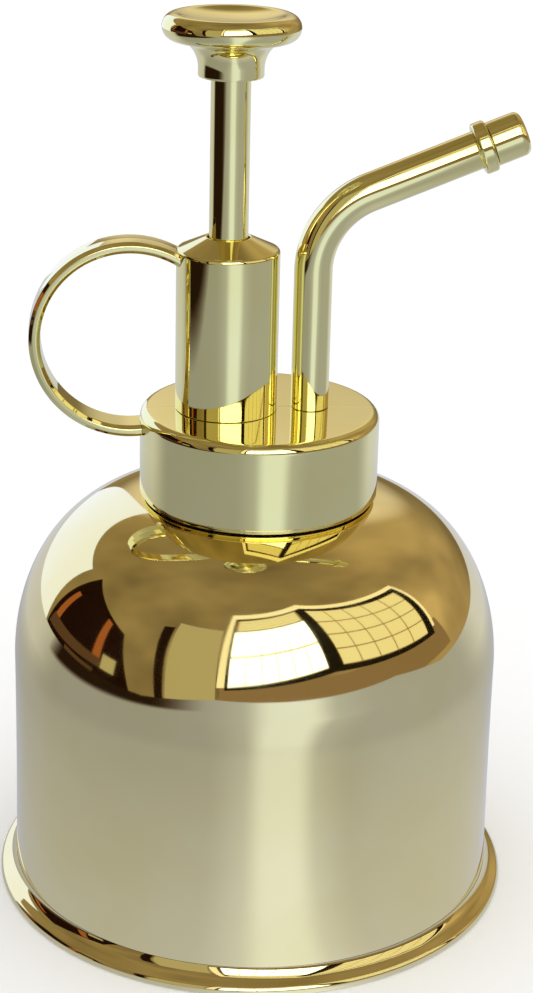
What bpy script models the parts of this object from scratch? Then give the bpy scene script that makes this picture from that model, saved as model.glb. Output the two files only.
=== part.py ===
"""A hand mister for plants: a drawn metal bottle with a screw-on pump head, a finger ring and a bent spout.

Units are metres, +Z is up. The origin is on the bottle's axis at the surface it stands on; +X points to the
spout and -X to the finger ring. Every piece is a solid of its own, and pieces that touch keep GAP apart.
"""

import math

import bmesh
import bpy
from mathutils import Matrix, Vector

MM = 0.001
GAP = 0.3 * MM                      # clearance left between pieces that touch or slide on each other

# Bottle
BODY_RADIUS = 39.8 * MM             # at the shoulder, where the dome begins
FOOT_FLARE = 0.4 * MM               # how much wider the wall is at the foot
SHOULDER_HEIGHT = 39.9 * MM
DOME_HEIGHT = 28.5 * MM             # from the shoulder to the dome's flat crown
DOME_OUT_POWER = 3.73               # superellipse powers of the dome: outwards and upwards
DOME_UP_POWER = 1.96
SHELL_WALL = 0.8 * MM
HEM_RADIUS = 1.3 * MM               # rolled bead round the foot
HEM_FLAT = 1.2 * MM                 # width of the ring that the bottle stands on
HEM_STANDOFF = 0.1 * MM             # from the wall's outside to the inner side of the bead
PAN_RECESS = 3.2 * MM               # how far the base disc is set up from the floor
PAN_WALL = 0.8 * MM

# Neck and cap
CAP_RADIUS = 19.2 * MM
CAP_HEIGHT = 14.0 * MM
CAP_WALL = 1.3 * MM
CAP_TOP_WALL = 1.5 * MM
CAP_EDGE = 1.5 * MM                 # rounding of the cap's top edge
CAP_LIFT = 1.0 * MM                 # height of the cap's lower edge over the dome
CAP_LIP_STEP = 0.45 * MM            # how far the lip that closes that height is set back
LINER_WALL = 1.6 * MM
THREAD_PITCH = 3.0 * MM
THREAD_DEPTH = 1.2 * MM
THREAD_CLEARANCE = 0.5 * MM
THREAD_ROOT = 1.1 * MM              # width of a thread's ridge where it stands on its wall
THREAD_CREST = 0.7 * MM
THREAD_TURNS = 1.6
THREAD_LEAD = 0.6 * MM              # plain wall below the first ridge
NECK_WALL = 1.8 * MM
NECK_FLANGE = 3.7 * MM              # how far the neck's foot reaches out under the dome
NECK_FLANGE_THICKNESS = 1.0 * MM
GASKET_THICKNESS = 1.3 * MM
FLANGE_THICKNESS = 1.6 * MM         # pump body's disc, clamped between gasket and cap

# Pump
CYLINDER_BORE = 4.5 * MM            # radius that the piston runs in
CYLINDER_WALL = 0.6 * MM
PUMP_BODY_WALL = 0.9 * MM           # wall of the cup that holds the cylinder
NECK_CLEARANCE = 0.75 * MM          # pump body to neck bore
STROKE = 23.5 * MM
STOP_GAP = 1.1 * MM                 # left between knob and barrel when the piston is down
BARREL_RADIUS = 8.14 * MM
BARREL_WALL = 1.14 * MM
BARREL_HEIGHT = 25.9 * MM           # from the cap's top to the barrel's upper edge
BARREL_CONE = 2.2 * MM              # height of the shallow cone above that edge
BARREL_SPIGOT_WALL = 0.7 * MM
GUIDE_HEIGHT = 3.2 * MM
ROD_RADIUS = 3.07 * MM
ROD_PIN_RADIUS = 2.2 * MM           # reduced end of the rod, snapped into the piston
ROD_PIN_LENGTH = 3.0 * MM
PISTON_LENGTH = 7.2 * MM
PISTON_FLANGE = 1.2 * MM
SEAL_HEIGHT = 2.2 * MM
SPRING_WIRE = 0.4 * MM              # wire radius
SPRING_TURNS = 8
SPRING_SOLID = 9.9 * MM             # length of the spring when the knob is right down
CHAMBER_HEIGHT = 3.2 * MM           # room between ball cage and cylinder, where the outlet port opens
CAGE_HEIGHT = 2.0 * MM
CAGE_SLOT = 1.6 * MM
BALL_RADIUS = 2.0 * MM
BALL_LIFT = 1.2 * MM
BALL_CLEARANCE = 0.4 * MM           # round the ball in its pocket
BALL_SINK = 0.2 * MM                # how far the resting ball dips into its seat
SEAT_BORE = 1.5 * MM
SEAT_HEIGHT = 2.0 * MM
TUBE_RADIUS = 2.5 * MM
TUBE_WALL = 0.9 * MM
TUBE_SOCKET = 7.6 * MM
SOCKET_WALL = 1.4 * MM
TUBE_FLOOR_GAP = 2.5 * MM           # from the dip tube's lower end to the base disc
STRAINER_WALL = 0.8 * MM
STRAINER_HEIGHT = 6.0 * MM

# Outlet valve and spout
RISER_WALL = 1.1 * MM
PORT_BORE = 1.2 * MM
PORT_WALL = 1.2 * MM
PORT_NARROWING = 0.9                # cross port's radius as a share of the riser's bore
OUTLET_BALL_RADIUS = 1.5 * MM
OUTLET_SEAT_RISE = 2.2 * MM         # from the port's roof to the outlet seat
VALVE_BORE = 1.9 * MM
VALVE_HEIGHT = 7.7 * MM             # from the outlet seat to the foot of the spout's spigot
OUTLET_WIRE = 0.25 * MM
OUTLET_TURNS = 5
SPOUT_RADIUS = 3.02 * MM
SPOUT_BORE = 1.5 * MM
SPIGOT_RADIUS = 2.4 * MM
ORING_SECTION = 0.7 * MM
SPOUT_RISE = 31.5 * MM              # from the cap's top to the corner where the two straight runs would meet
SPOUT_BEND_RADIUS = 13.5 * MM
SPOUT_ANGLE = 22.0                  # degrees above the horizontal
SPOUT_REACH = 28.9 * MM             # from that corner to the shoulder under the nozzle
COLLAR_STEP = 1.08 * MM             # how far the collar stands out from the spout
COLLAR_LENGTH = 2.2 * MM
NOZZLE_RADIUS = 3.5 * MM
NOZZLE_LENGTH = 5.3 * MM
NOZZLE_END_WALL = 1.1 * MM
NOZZLE_EDGE = 1.2 * MM
NOZZLE_SPIGOT_RADIUS = 2.3 * MM
NOZZLE_SPIGOT_LENGTH = 3.4 * MM
NOZZLE_ORIFICE = 0.4 * MM
WASHER_THICKNESS = 0.6 * MM
WASHER_BORE = 0.8 * MM
SWIRL_LENGTH = 2.4 * MM
SWIRL_FLAT = 0.35 * MM              # how deep the swirl core's side flats are cut

# Finger ring and push knob
RING_THICKNESS = 1.85 * MM
RING_WIDTH = 6.0 * MM
RING_OFFSET = 1.6 * MM              # ring's centre beyond the cap's side
RING_DROP = 4.1 * MM                # ring's lowest point below the cap's top
RING_EDGE = 0.5 * MM
KNOB_RADIUS = 10.6 * MM
KNOB_HEIGHT = 9.5 * MM
KNOB_NECK_RADIUS = 5.05 * MM
KNOB_RIM = 2.0 * MM                 # radius of the rounded rim's section
KNOB_FLARE = 4.2 * MM               # height over which the neck widens to the rim
KNOB_DISH = 1.2 * MM
KNOB_SOCKET = 4.3 * MM              # how far the rod goes up into the knob

# Facets
FINE = 44                           # sides of the bottle, its base and the cap
MEDIUM = 28                         # sides of neck, barrel, knob and ring
COARSE = 20                         # sides of the pump's inner pieces, rod and spout
COIL_STEPS = 12                     # straight lengths in one turn of a spring
WIRE_SIDES = 5
DOME_STEPS = 10                     # rows of facets up the dome
BEND_STEPS = 10                     # straight lengths in the spout's bend
RIDGE_SINK = 0.25 * MM              # how far a thread's ridge is sunk in its wall, so that the two join

# Places that follow from the sizes above
FOOT_RADIUS = BODY_RADIUS + FOOT_FLARE
HEM_CENTRE = FOOT_RADIUS + HEM_RADIUS + HEM_STANDOFF
FOOT_HEIGHT = 2 * HEM_RADIUS + GAP
PAN_TOP = PAN_RECESS + PAN_WALL
LINER_RADIUS = CAP_RADIUS - CAP_WALL - GAP
LINER_BORE = LINER_RADIUS - LINER_WALL
NECK_RADIUS = LINER_BORE - THREAD_DEPTH - THREAD_CLEARANCE
NECK_BORE = NECK_RADIUS - NECK_WALL
PUMP_BODY_RADIUS = CYLINDER_BORE + CYLINDER_WALL + GAP + PUMP_BODY_WALL
RISER_RADIUS = SPIGOT_RADIUS + GAP + RISER_WALL
BARREL_X = -(NECK_BORE - NECK_CLEARANCE - PUMP_BODY_RADIUS)
SPOUT_X = NECK_BORE - NECK_CLEARANCE - RISER_RADIUS


def dome_height(radius, inset=0.0):
    """Height of the dome at a radius, for its outside or for a surface that lies inset under it."""
    share = radius / (BODY_RADIUS - inset)
    rise = (1.0 - share ** DOME_OUT_POWER) ** (1.0 / DOME_UP_POWER)
    return SHOULDER_HEIGHT + (DOME_HEIGHT - inset) * rise


CAP_BOTTOM = dome_height(CAP_RADIUS) + CAP_LIFT
CAP_TOP = CAP_BOTTOM + CAP_HEIGHT
CAP_CEILING = CAP_TOP - CAP_TOP_WALL
FLANGE_TOP = CAP_CEILING - GAP
FLANGE_BOTTOM = FLANGE_TOP - FLANGE_THICKNESS
GASKET_TOP = FLANGE_BOTTOM - GAP
GASKET_BOTTOM = GASKET_TOP - GASKET_THICKNESS
NECK_TOP = GASKET_BOTTOM - GAP
THREAD_START = CAP_BOTTOM + THREAD_PITCH / 2 + THREAD_LEAD

BARREL_EDGE = CAP_TOP + BARREL_HEIGHT
BARREL_TOP = BARREL_EDGE + BARREL_CONE
BARREL_BORE = BARREL_RADIUS - BARREL_WALL
ROD_HOLE = ROD_RADIUS + GAP
GUIDE_TOP = BARREL_EDGE - BARREL_WALL
GUIDE_BOTTOM = GUIDE_TOP - GUIDE_HEIGHT
CYLINDER_TOP = GUIDE_BOTTOM - GAP
PISTON_TOP = CYLINDER_TOP - GAP
PISTON_BOTTOM = PISTON_TOP - PISTON_LENGTH
SPRING_TOP = PISTON_BOTTOM - GAP
SPRING_BOTTOM = PISTON_BOTTOM - STROKE - SPRING_SOLID
CAGE_TOP = SPRING_BOTTOM - GAP
CAGE_BOTTOM = CAGE_TOP - CAGE_HEIGHT
CHAMBER_FLOOR = CAGE_BOTTOM - GAP
CYLINDER_BOTTOM = CAGE_TOP + CHAMBER_HEIGHT
PORT_HEIGHT = CAGE_TOP + CHAMBER_HEIGHT / 2
BALL_BORE = BALL_RADIUS + BALL_CLEARANCE
BALL_POCKET = 2 * BALL_RADIUS + BALL_LIFT - BALL_SINK
SEAT_TOP = CHAMBER_FLOOR - BALL_POCKET
SEAT_BOTTOM = SEAT_TOP - SEAT_HEIGHT
SOCKET_BOTTOM = SEAT_BOTTOM - TUBE_SOCKET
TUBE_BOTTOM = PAN_TOP + TUBE_FLOOR_GAP

OUTLET_SEAT = PORT_HEIGHT + PORT_BORE + OUTLET_SEAT_RISE
SPIGOT_FOOT = OUTLET_SEAT + VALVE_HEIGHT + GAP
SPIGOT_BORE = SPIGOT_RADIUS + GAP
ORING_BORE = SPIGOT_BORE + ORING_SECTION + GAP
SPOUT_SHOULDER = CAP_TOP + GAP
SPOUT_CORNER = CAP_TOP + SPOUT_RISE
COLLAR_RADIUS = SPOUT_RADIUS + COLLAR_STEP
COLLAR_START = SPOUT_REACH - COLLAR_LENGTH + GAP
NOZZLE_START = SPOUT_REACH + 2 * GAP
NOZZLE_TIP = NOZZLE_START + NOZZLE_LENGTH
SPIGOT_TIP = SPOUT_REACH + NOZZLE_SPIGOT_LENGTH

KNOB_BOTTOM = BARREL_TOP + STROKE + STOP_GAP
KNOB_TOP = KNOB_BOTTOM + KNOB_HEIGHT

# The ring's outer face is the circle about RING_X that meets the barrel's side at its upper edge
RING_X = -(CAP_RADIUS + RING_OFFSET)
RING_RISE = BARREL_HEIGHT + RING_DROP
RING_RUN = BARREL_X - BARREL_RADIUS - RING_X
RING_RADIUS = (RING_RUN ** 2 + RING_RISE ** 2) / (2 * RING_RISE)
RING_BORE = RING_RADIUS - RING_THICKNESS
RING_Z = CAP_TOP - RING_DROP + RING_RADIUS


UPWARD = Vector((0.0, 0.0, 1.0))


# ---- tools -------------------------------------------------------------------------------------------

def clear_scene():
    for obj in list(bpy.data.objects):
        bpy.data.objects.remove(obj, do_unlink=True)


def make_material(name, colour, roughness, metallic):
    material = bpy.data.materials.new(name)
    material.use_nodes = True
    shader = material.node_tree.nodes["Principled BSDF"]
    shader.inputs["Base Color"].default_value = (*colour, 1.0)
    shader.inputs["Roughness"].default_value = roughness
    shader.inputs["Metallic"].default_value = metallic
    return material


def add_object(name, mesh_data, material, parent=None):
    """Turns a bmesh into a named object with outward faces, smooth sides and sharp edges."""
    bmesh.ops.recalc_face_normals(mesh_data, faces=mesh_data.faces)
    mesh = bpy.data.meshes.new(name)
    mesh_data.to_mesh(mesh)
    mesh_data.free()
    mesh.shade_smooth()
    mesh.set_sharp_from_angle(angle=math.radians(35))
    if material:
        mesh.materials.append(material)
    obj = bpy.data.objects.new(name, mesh)
    bpy.context.collection.objects.link(obj)
    obj.parent = parent
    return obj


def add_axis(name, location=(0, 0, 0), tilt=0.0):
    """An empty on a joint's axis. The pieces that share the axis are its children, with their Z along it."""
    empty = bpy.data.objects.new(name, None)
    empty.location = location
    empty.rotation_euler = (0.0, tilt, 0.0)
    bpy.context.collection.objects.link(empty)
    return empty


def arc(centre_r, centre_z, radius, start, end, steps):
    """Points on an arc of an outline, angles in degrees from +r towards +z."""
    points = []
    for i in range(steps + 1):
        angle = math.radians(start + (end - start) * i / steps)
        points.append((centre_r + radius * math.cos(angle), centre_z + radius * math.sin(angle)))
    return points


def spun(outline, sides):
    """A solid of revolution about Z. An outline that begins on the axis ends there; any other is a ring."""
    mesh_data = bmesh.new()
    verts = [mesh_data.verts.new((r, 0.0, z)) for r, z in outline]
    edges = [mesh_data.edges.new(pair) for pair in zip(verts, verts[1:])]
    if outline[0][0] > 0.0:
        edges.append(mesh_data.edges.new((verts[-1], verts[0])))
    bmesh.ops.spin(mesh_data, geom=verts + edges, cent=(0, 0, 0), axis=(0, 0, 1),
                   angle=2 * math.pi, steps=sides, use_merge=True)
    bmesh.ops.remove_doubles(mesh_data, verts=mesh_data.verts, dist=1e-3 * MM)
    return mesh_data


def lathe(name, outline, material, parent=None, sides=COARSE):
    return add_object(name, spun(outline, sides), material, parent)


def tube_outline(outer, bore, bottom, top):
    return [(outer, bottom), (outer, top), (bore, top), (bore, bottom)]


def rod_outline(radius, bottom, top):
    return [(0.0, bottom), (radius, bottom), (radius, top), (0.0, top)]


def swept(stations, closed_loop=False):
    """Joins rings of points into one solid. A closed loop runs out along a tube and back through its bore."""
    mesh_data = bmesh.new()
    loops = [[mesh_data.verts.new(point) for point in station] for station in stations]
    if not closed_loop:
        mesh_data.faces.new(loops[0])
        mesh_data.faces.new(loops[-1])
    following = loops[1:] + loops[:1] if closed_loop else loops[1:]
    count = len(loops[0])
    for near, far in zip(loops, following):
        for i in range(count):
            j = (i + 1) % count
            mesh_data.faces.new((near[i], near[j], far[j], far[i]))
    return mesh_data


def circle_at(centre, along, radius, sides):
    """Points of a circle square to a direction in the XZ plane."""
    side = Vector((0.0, 1.0, 0.0))
    up = along.cross(side)
    points = []
    for i in range(sides):
        angle = 2 * math.pi * i / sides
        points.append(centre + radius * (math.cos(angle) * up + math.sin(angle) * side))
    return points


def wire_coil(name, material, parent, radius, wire, bottom, top, turns):
    """A compression spring with its wire's centreline on a helix between two heights."""
    steps = turns * COIL_STEPS
    low = bottom + wire
    rise = top - bottom - 2 * wire
    stations = []
    for i in range(steps + 1):
        share = i / steps
        angle = 2 * math.pi * turns * share
        out = Vector((math.cos(angle), math.sin(angle), 0.0))
        centre = out * radius + Vector((0.0, 0.0, low + rise * share))
        section = []
        for k in range(WIRE_SIDES):
            turn = 2 * math.pi * k / WIRE_SIDES
            section.append(centre + wire * (math.cos(turn) * out + math.sin(turn) * UPWARD))
        stations.append(section)
    return add_object(name, swept(stations), material, parent)


def thread_ridge(name, wall, depth, phase):
    """A right-hand helical ridge, out from a wall by depth, or in from it when depth is negative."""
    steps = round(THREAD_TURNS * MEDIUM)
    sink = math.copysign(RIDGE_SINK, depth)
    stations = []
    for i in range(steps + 1):
        turn = THREAD_TURNS * i / steps
        angle = 2 * math.pi * turn
        out = Vector((math.cos(angle), math.sin(angle), 0.0))
        middle = THREAD_START + THREAD_PITCH * (turn + phase)
        section = []
        for radius, half in ((wall - sink, THREAD_ROOT / 2), (wall + depth, THREAD_CREST / 2),
                             (wall + depth, -THREAD_CREST / 2), (wall - sink, -THREAD_ROOT / 2)):
            section.append(out * radius + Vector((0.0, 0.0, middle + half)))
        stations.append(section)
    return add_object(name, swept(stations), None)


def boolean(obj, tool, operation):
    """Joins a tool's shape to an object or cuts it away; the tool itself stays a hidden guide."""
    modifier = obj.modifiers.new(operation.title(), "BOOLEAN")
    modifier.operation = operation
    modifier.object = tool
    modifier.solver = "EXACT"
    tool.hide_render = True
    tool.display_type = "WIRE"


def block(name, low, high, parent=None):
    mesh_data = bmesh.new()
    size = [h - l for l, h in zip(low, high)]
    middle = [(h + l) / 2 for l, h in zip(low, high)]
    placing = Matrix.Translation(middle) @ Matrix.Diagonal((*size, 1.0))
    bmesh.ops.create_cube(mesh_data, size=1.0, matrix=placing)
    return add_object(name, mesh_data, None, parent)


def ball(name, material, parent, radius, height):
    mesh_data = bmesh.new()
    bmesh.ops.create_uvsphere(mesh_data, u_segments=16, v_segments=10, radius=radius,
                              matrix=Matrix.Translation((0.0, 0.0, height)))
    return add_object(name, mesh_data, material, parent)


# ---- bottle ------------------------------------------------------------------------------------------

def dome_curve(inset, end_radius, steps):
    """The dome's outline from the shoulder to a radius near the crown, inset under its outside."""
    width = BODY_RADIUS - inset
    rise = DOME_HEIGHT - inset
    last = math.acos((end_radius / width) ** (DOME_OUT_POWER / 2))
    points = []
    for i in range(steps + 1):
        angle = last * i / steps
        points.append((width * math.cos(angle) ** (2 / DOME_OUT_POWER),
                       SHOULDER_HEIGHT + rise * math.sin(angle) ** (2 / DOME_UP_POWER)))
    return points


def make_bottle_shell(metal):
    mouth = NECK_RADIUS + GAP
    outside = dome_curve(0.0, mouth, DOME_STEPS)
    inside = dome_curve(SHELL_WALL, mouth, DOME_STEPS)
    outline = [(FOOT_RADIUS, FOOT_HEIGHT)] + outside + inside[::-1]
    outline += [(FOOT_RADIUS - SHELL_WALL, FOOT_HEIGHT)]
    return lathe("bottle_shell", outline, metal, sides=FINE)


def make_base_pan(metal):
    """A stamped disc set up inside the foot, its edge rolled into the bead that the bottle stands on."""
    inner = FOOT_RADIUS - SHELL_WALL - GAP
    edge = PAN_WALL
    outline = [(0.0, PAN_TOP), (inner - edge, PAN_TOP), (inner, PAN_TOP - edge), (inner, 2 * HEM_RADIUS)]
    outline += arc(HEM_CENTRE, HEM_RADIUS, HEM_RADIUS, 90, -50, 6)
    outline += [(HEM_CENTRE + HEM_FLAT / 2, 0.0), (HEM_CENTRE - HEM_FLAT / 2, 0.0)]
    outline += [(HEM_CENTRE - HEM_RADIUS, HEM_RADIUS / 2), (inner - PAN_WALL, HEM_RADIUS)]
    outline += [(inner - PAN_WALL, PAN_RECESS - edge / 2), (inner - PAN_WALL - edge / 2, PAN_RECESS)]
    outline += [(0.0, PAN_RECESS)]
    return lathe("base_pan", outline, metal, sides=FINE)


def make_neck(metal):
    """The threaded neck, set in the dome's mouth from inside with a flange under the dome."""
    reach = NECK_RADIUS + NECK_FLANGE
    flange_top = dome_height(reach, SHELL_WALL) - GAP
    flange_bottom = flange_top - NECK_FLANGE_THICKNESS
    lead = 0.4 * MM
    outline = [(NECK_BORE, flange_bottom), (reach, flange_bottom), (reach, flange_top),
               (NECK_RADIUS, flange_top), (NECK_RADIUS, NECK_TOP - lead), (NECK_RADIUS - lead, NECK_TOP),
               (NECK_BORE, NECK_TOP)]
    neck = lathe("threaded_neck", outline, metal, sides=MEDIUM)
    boolean(neck, thread_ridge("neck_thread", NECK_RADIUS, THREAD_DEPTH, 0.0), "UNION")
    return neck


# ---- head: cap, ring and barrel ----------------------------------------------------------------------

def make_gasket(rubber):
    outline = tube_outline(LINER_BORE - GAP, NECK_BORE, GASKET_BOTTOM, GASKET_TOP)
    return lathe("neck_gasket", outline, rubber, sides=MEDIUM)


def make_cap_shell(plated):
    inner = CAP_RADIUS - CAP_WALL
    lip = 0.3 * MM
    outline = [(0.0, CAP_TOP)]
    outline += arc(CAP_RADIUS - CAP_EDGE, CAP_TOP - CAP_EDGE, CAP_EDGE, 90, 0, 5)
    outline += [(CAP_RADIUS, CAP_BOTTOM + lip), (CAP_RADIUS - lip, CAP_BOTTOM)]
    set_back = CAP_RADIUS - CAP_LIP_STEP
    outline += [(set_back, CAP_BOTTOM), (set_back, dome_height(set_back) + GAP)]
    outline.append((inner, dome_height(inner) + GAP))
    outline += [(inner, CAP_CEILING), (0.0, CAP_CEILING)]
    cap = lathe("cap_shell", outline, plated, sides=FINE)
    for name, x, radius in (("barrel_hole", BARREL_X, BARREL_RADIUS - BARREL_SPIGOT_WALL + GAP),
                            ("spout_hole", SPOUT_X, SPIGOT_BORE)):
        cutter = lathe(name, rod_outline(radius, CAP_CEILING - MM, CAP_TOP + MM), None)
        cutter.location.x = x
        boolean(cap, cutter, "DIFFERENCE")
    return cap


def make_cap_liner(plastic):
    outline = tube_outline(LINER_RADIUS, LINER_BORE, CAP_BOTTOM + 2 * GAP, CAP_CEILING - GAP)
    liner = lathe("cap_liner", outline, plastic, sides=MEDIUM)
    boolean(liner, thread_ridge("liner_thread", LINER_BORE, -THREAD_DEPTH, 0.5), "UNION")
    return liner


def ring_section(angle):
    """The ring's rounded strip section at an angle round the ring, in degrees from +X towards +Z."""
    out = Vector((math.cos(math.radians(angle)), 0.0, math.sin(math.radians(angle))))
    half = RING_WIDTH / 2
    corners = []
    for start, radius, y in ((0, RING_RADIUS - RING_EDGE, half - RING_EDGE),
                             (90, RING_BORE + RING_EDGE, half - RING_EDGE),
                             (180, RING_BORE + RING_EDGE, -half + RING_EDGE),
                             (270, RING_RADIUS - RING_EDGE, -half + RING_EDGE)):
        corners += arc(radius, y, RING_EDGE, start, start + 90, 2)
    centre = Vector((RING_X, 0.0, RING_Z))
    return [centre + out * r + Vector((0.0, y, 0.0)) for r, y in corners]


def make_finger_ring(plated):
    """A flat strip bent round from the cap's side to the barrel, each end cut back to clear what it meets."""
    cap_angle = -math.degrees(math.acos(RING_OFFSET / RING_RADIUS))
    barrel_angle = math.degrees(math.acos(RING_RUN / RING_RADIUS))
    overrun = 8.0                       # degrees by which the strip starts inside what it meets
    start = cap_angle + 360 + overrun
    end = barrel_angle - overrun
    sections = [ring_section(start + (end - start) * i / MEDIUM) for i in range(MEDIUM + 1)]
    ring = add_object("finger_ring", swept(sections), plated)
    barrel_room = lathe("barrel_room", rod_outline(BARREL_RADIUS + GAP, CAP_TOP, RING_Z + RING_RADIUS), None)
    barrel_room.location.x = BARREL_X
    cap_room = lathe("cap_room", rod_outline(CAP_RADIUS + GAP, CAP_BOTTOM, CAP_TOP + GAP), None, sides=FINE)
    boolean(ring, barrel_room, "DIFFERENCE")
    boolean(ring, cap_room, "DIFFERENCE")
    return ring


def make_barrel(plated, pump_axis):
    """The upright housing round the cylinder: a tube with a conical top, its spigot down through the cap."""
    spigot = BARREL_RADIUS - BARREL_SPIGOT_WALL
    cone_under = BARREL_EDGE - BARREL_WALL + GAP
    outline = [(BARREL_BORE, CAP_CEILING), (spigot, CAP_CEILING), (spigot, CAP_TOP + GAP),
               (BARREL_RADIUS, CAP_TOP + GAP)]
    outline += arc(BARREL_RADIUS - GAP, BARREL_EDGE - GAP, GAP, 0, 60, 2)
    outline += [(ROD_HOLE, BARREL_TOP), (ROD_HOLE, cone_under), (BARREL_BORE, cone_under)]
    return lathe("barrel_housing", outline, plated, pump_axis, MEDIUM)


def make_rod_guide(plastic, rubber, pump_axis):
    """The bush that closes the cylinder round the rod, with a wiper ring in its lower side."""
    groove = ROD_HOLE + ORING_SECTION + GAP
    groove_top = GUIDE_BOTTOM + ORING_SECTION + GAP
    outline = [(ROD_HOLE, groove_top), (groove, groove_top), (groove, GUIDE_BOTTOM),
               (BARREL_BORE - GAP, GUIDE_BOTTOM), (BARREL_BORE - GAP, GUIDE_TOP), (ROD_HOLE, GUIDE_TOP)]
    guide = lathe("rod_guide", outline, plastic, pump_axis)
    wiper_outline = tube_outline(groove - GAP, ROD_HOLE, GUIDE_BOTTOM, groove_top - GAP)
    wiper = lathe("rod_wiper", wiper_outline, rubber, pump_axis)
    return guide, wiper


# ---- head: pump body, cylinder and inlet valve -------------------------------------------------------

def make_pump_body(plastic, pump_axis):
    """One moulding: clamped disc, cylinder cup, inlet valve pocket, dip tube socket and outlet riser."""
    tail = TUBE_RADIUS + GAP + SOCKET_WALL
    inside_disc = (FLANGE_BOTTOM + FLANGE_TOP) / 2
    outline = [(0.0, SOCKET_BOTTOM), (tail, SOCKET_BOTTOM), (tail, SEAT_TOP),
               (PUMP_BODY_RADIUS, CHAMBER_FLOOR - MM), (PUMP_BODY_RADIUS, inside_disc), (0.0, inside_disc)]
    body = lathe("pump_body", outline, plastic, pump_axis)
    disc = lathe("pump_disc", rod_outline(LINER_BORE - GAP, FLANGE_BOTTOM, FLANGE_TOP), None, sides=MEDIUM)
    port_half = PORT_BORE + PORT_WALL
    riser = lathe("riser", rod_outline(RISER_RADIUS, PORT_HEIGHT - port_half, inside_disc), None)
    riser.location.x = SPOUT_X
    bridge = block("port_bridge", (BARREL_X, -port_half, PORT_HEIGHT - port_half + PORT_WALL / 4),
                   (SPOUT_X, port_half, PORT_HEIGHT + port_half))
    for addition in (disc, riser, bridge):
        boolean(body, addition, "UNION")
    for cutter in (cylinder_well(), outlet_well(), outlet_port()):
        boolean(body, cutter, "DIFFERENCE")
    return body


def cylinder_well():
    """The stepped bore down through the cup: cylinder seat, chamber, ball pocket, seat and tube socket."""
    sleeve_bore = CYLINDER_BORE + CYLINDER_WALL + GAP
    tube_bore = TUBE_RADIUS + GAP
    outline = [(0.0, SOCKET_BOTTOM - MM), (tube_bore, SOCKET_BOTTOM - MM), (tube_bore, SEAT_BOTTOM),
               (SEAT_BORE, SEAT_BOTTOM), (SEAT_BORE, SEAT_TOP), (BALL_BORE, SEAT_TOP),
               (BALL_BORE, CHAMBER_FLOOR), (CYLINDER_BORE, CHAMBER_FLOOR),
               (CYLINDER_BORE, CYLINDER_BOTTOM - GAP), (sleeve_bore, CYLINDER_BOTTOM - GAP),
               (sleeve_bore, FLANGE_TOP + MM), (0.0, FLANGE_TOP + MM)]
    well = lathe("cylinder_well", outline, None)
    well.location.x = BARREL_X
    return well


def outlet_well():
    """The stepped bore down the riser: seal groove, spigot socket, valve chamber and port."""
    groove_floor = FLANGE_TOP - ORING_SECTION - GAP
    outline = [(0.0, PORT_HEIGHT - PORT_BORE), (PORT_BORE, PORT_HEIGHT - PORT_BORE), (PORT_BORE, OUTLET_SEAT),
               (VALVE_BORE, OUTLET_SEAT), (VALVE_BORE, SPIGOT_FOOT - GAP), (SPIGOT_BORE, SPIGOT_FOOT - GAP),
               (SPIGOT_BORE, groove_floor), (ORING_BORE, groove_floor), (ORING_BORE, FLANGE_TOP + MM),
               (0.0, FLANGE_TOP + MM)]
    well = lathe("outlet_well", outline, None)
    well.location.x = SPOUT_X
    return well


def outlet_port():
    outline = rod_outline(PORT_BORE * PORT_NARROWING, 0.0, SPOUT_X - BARREL_X)
    port = lathe("outlet_port", outline, None, sides=12)
    port.location = (BARREL_X, 0.0, PORT_HEIGHT)
    port.rotation_euler = (0.0, math.radians(90), 0.0)
    return port


def make_cylinder(brass, pump_axis):
    outline = tube_outline(CYLINDER_BORE + CYLINDER_WALL, CYLINDER_BORE, CYLINDER_BOTTOM, CYLINDER_TOP)
    return lathe("pump_cylinder", outline, brass, pump_axis)


def make_ball_cage(plastic, pump_axis):
    """A slotted disc that keeps the inlet ball down and carries the return spring."""
    cage = lathe("ball_cage", rod_outline(CYLINDER_BORE - GAP, CAGE_BOTTOM, CAGE_TOP), plastic, pump_axis)
    reach = CYLINDER_BORE - GAP - MM
    half = CAGE_SLOT / 2
    for name, size in (("cage_slot_x", (reach, half)), ("cage_slot_y", (half, reach))):
        low = (-size[0], -size[1], CAGE_BOTTOM - MM)
        slot = block(name, low, (size[0], size[1], CAGE_TOP + MM), pump_axis)
        boolean(cage, slot, "DIFFERENCE")
    return cage


def seated_height(seat, edge_radius, ball_radius):
    """Height of a ball's centre when it sits over a seat's edge with the fitting gap left."""
    return seat + math.sqrt((ball_radius + GAP) ** 2 - edge_radius ** 2)


def make_inlet(plastic, steel, pump_axis):
    centre = seated_height(SEAT_TOP, SEAT_BORE, BALL_RADIUS)
    inlet_ball = ball("inlet_ball", steel, pump_axis, BALL_RADIUS, centre)
    tube_top = SEAT_BOTTOM - GAP
    outline = tube_outline(TUBE_RADIUS, TUBE_RADIUS - TUBE_WALL, TUBE_BOTTOM, tube_top)
    dip_tube = lathe("dip_tube", outline, plastic, pump_axis)
    return inlet_ball, dip_tube, make_strainer(plastic, pump_axis)


def make_strainer(plastic, pump_axis):
    """A slotted cup pushed on the dip tube's lower end."""
    outer = TUBE_RADIUS + GAP + STRAINER_WALL
    floor = TUBE_BOTTOM - GAP - STRAINER_WALL
    outline = [(0.0, floor), (outer, floor), (outer, floor + STRAINER_HEIGHT),
               (TUBE_RADIUS + GAP, floor + STRAINER_HEIGHT), (TUBE_RADIUS + GAP, floor + STRAINER_WALL),
               (0.0, floor + STRAINER_WALL)]
    strainer = lathe("inlet_strainer", outline, plastic, pump_axis)
    slot = block("strainer_slot", (-outer - MM, -GAP, floor - MM),
                 (outer + MM, GAP, floor + STRAINER_WALL / 2), pump_axis)
    boolean(strainer, slot, "DIFFERENCE")
    return strainer


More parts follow.
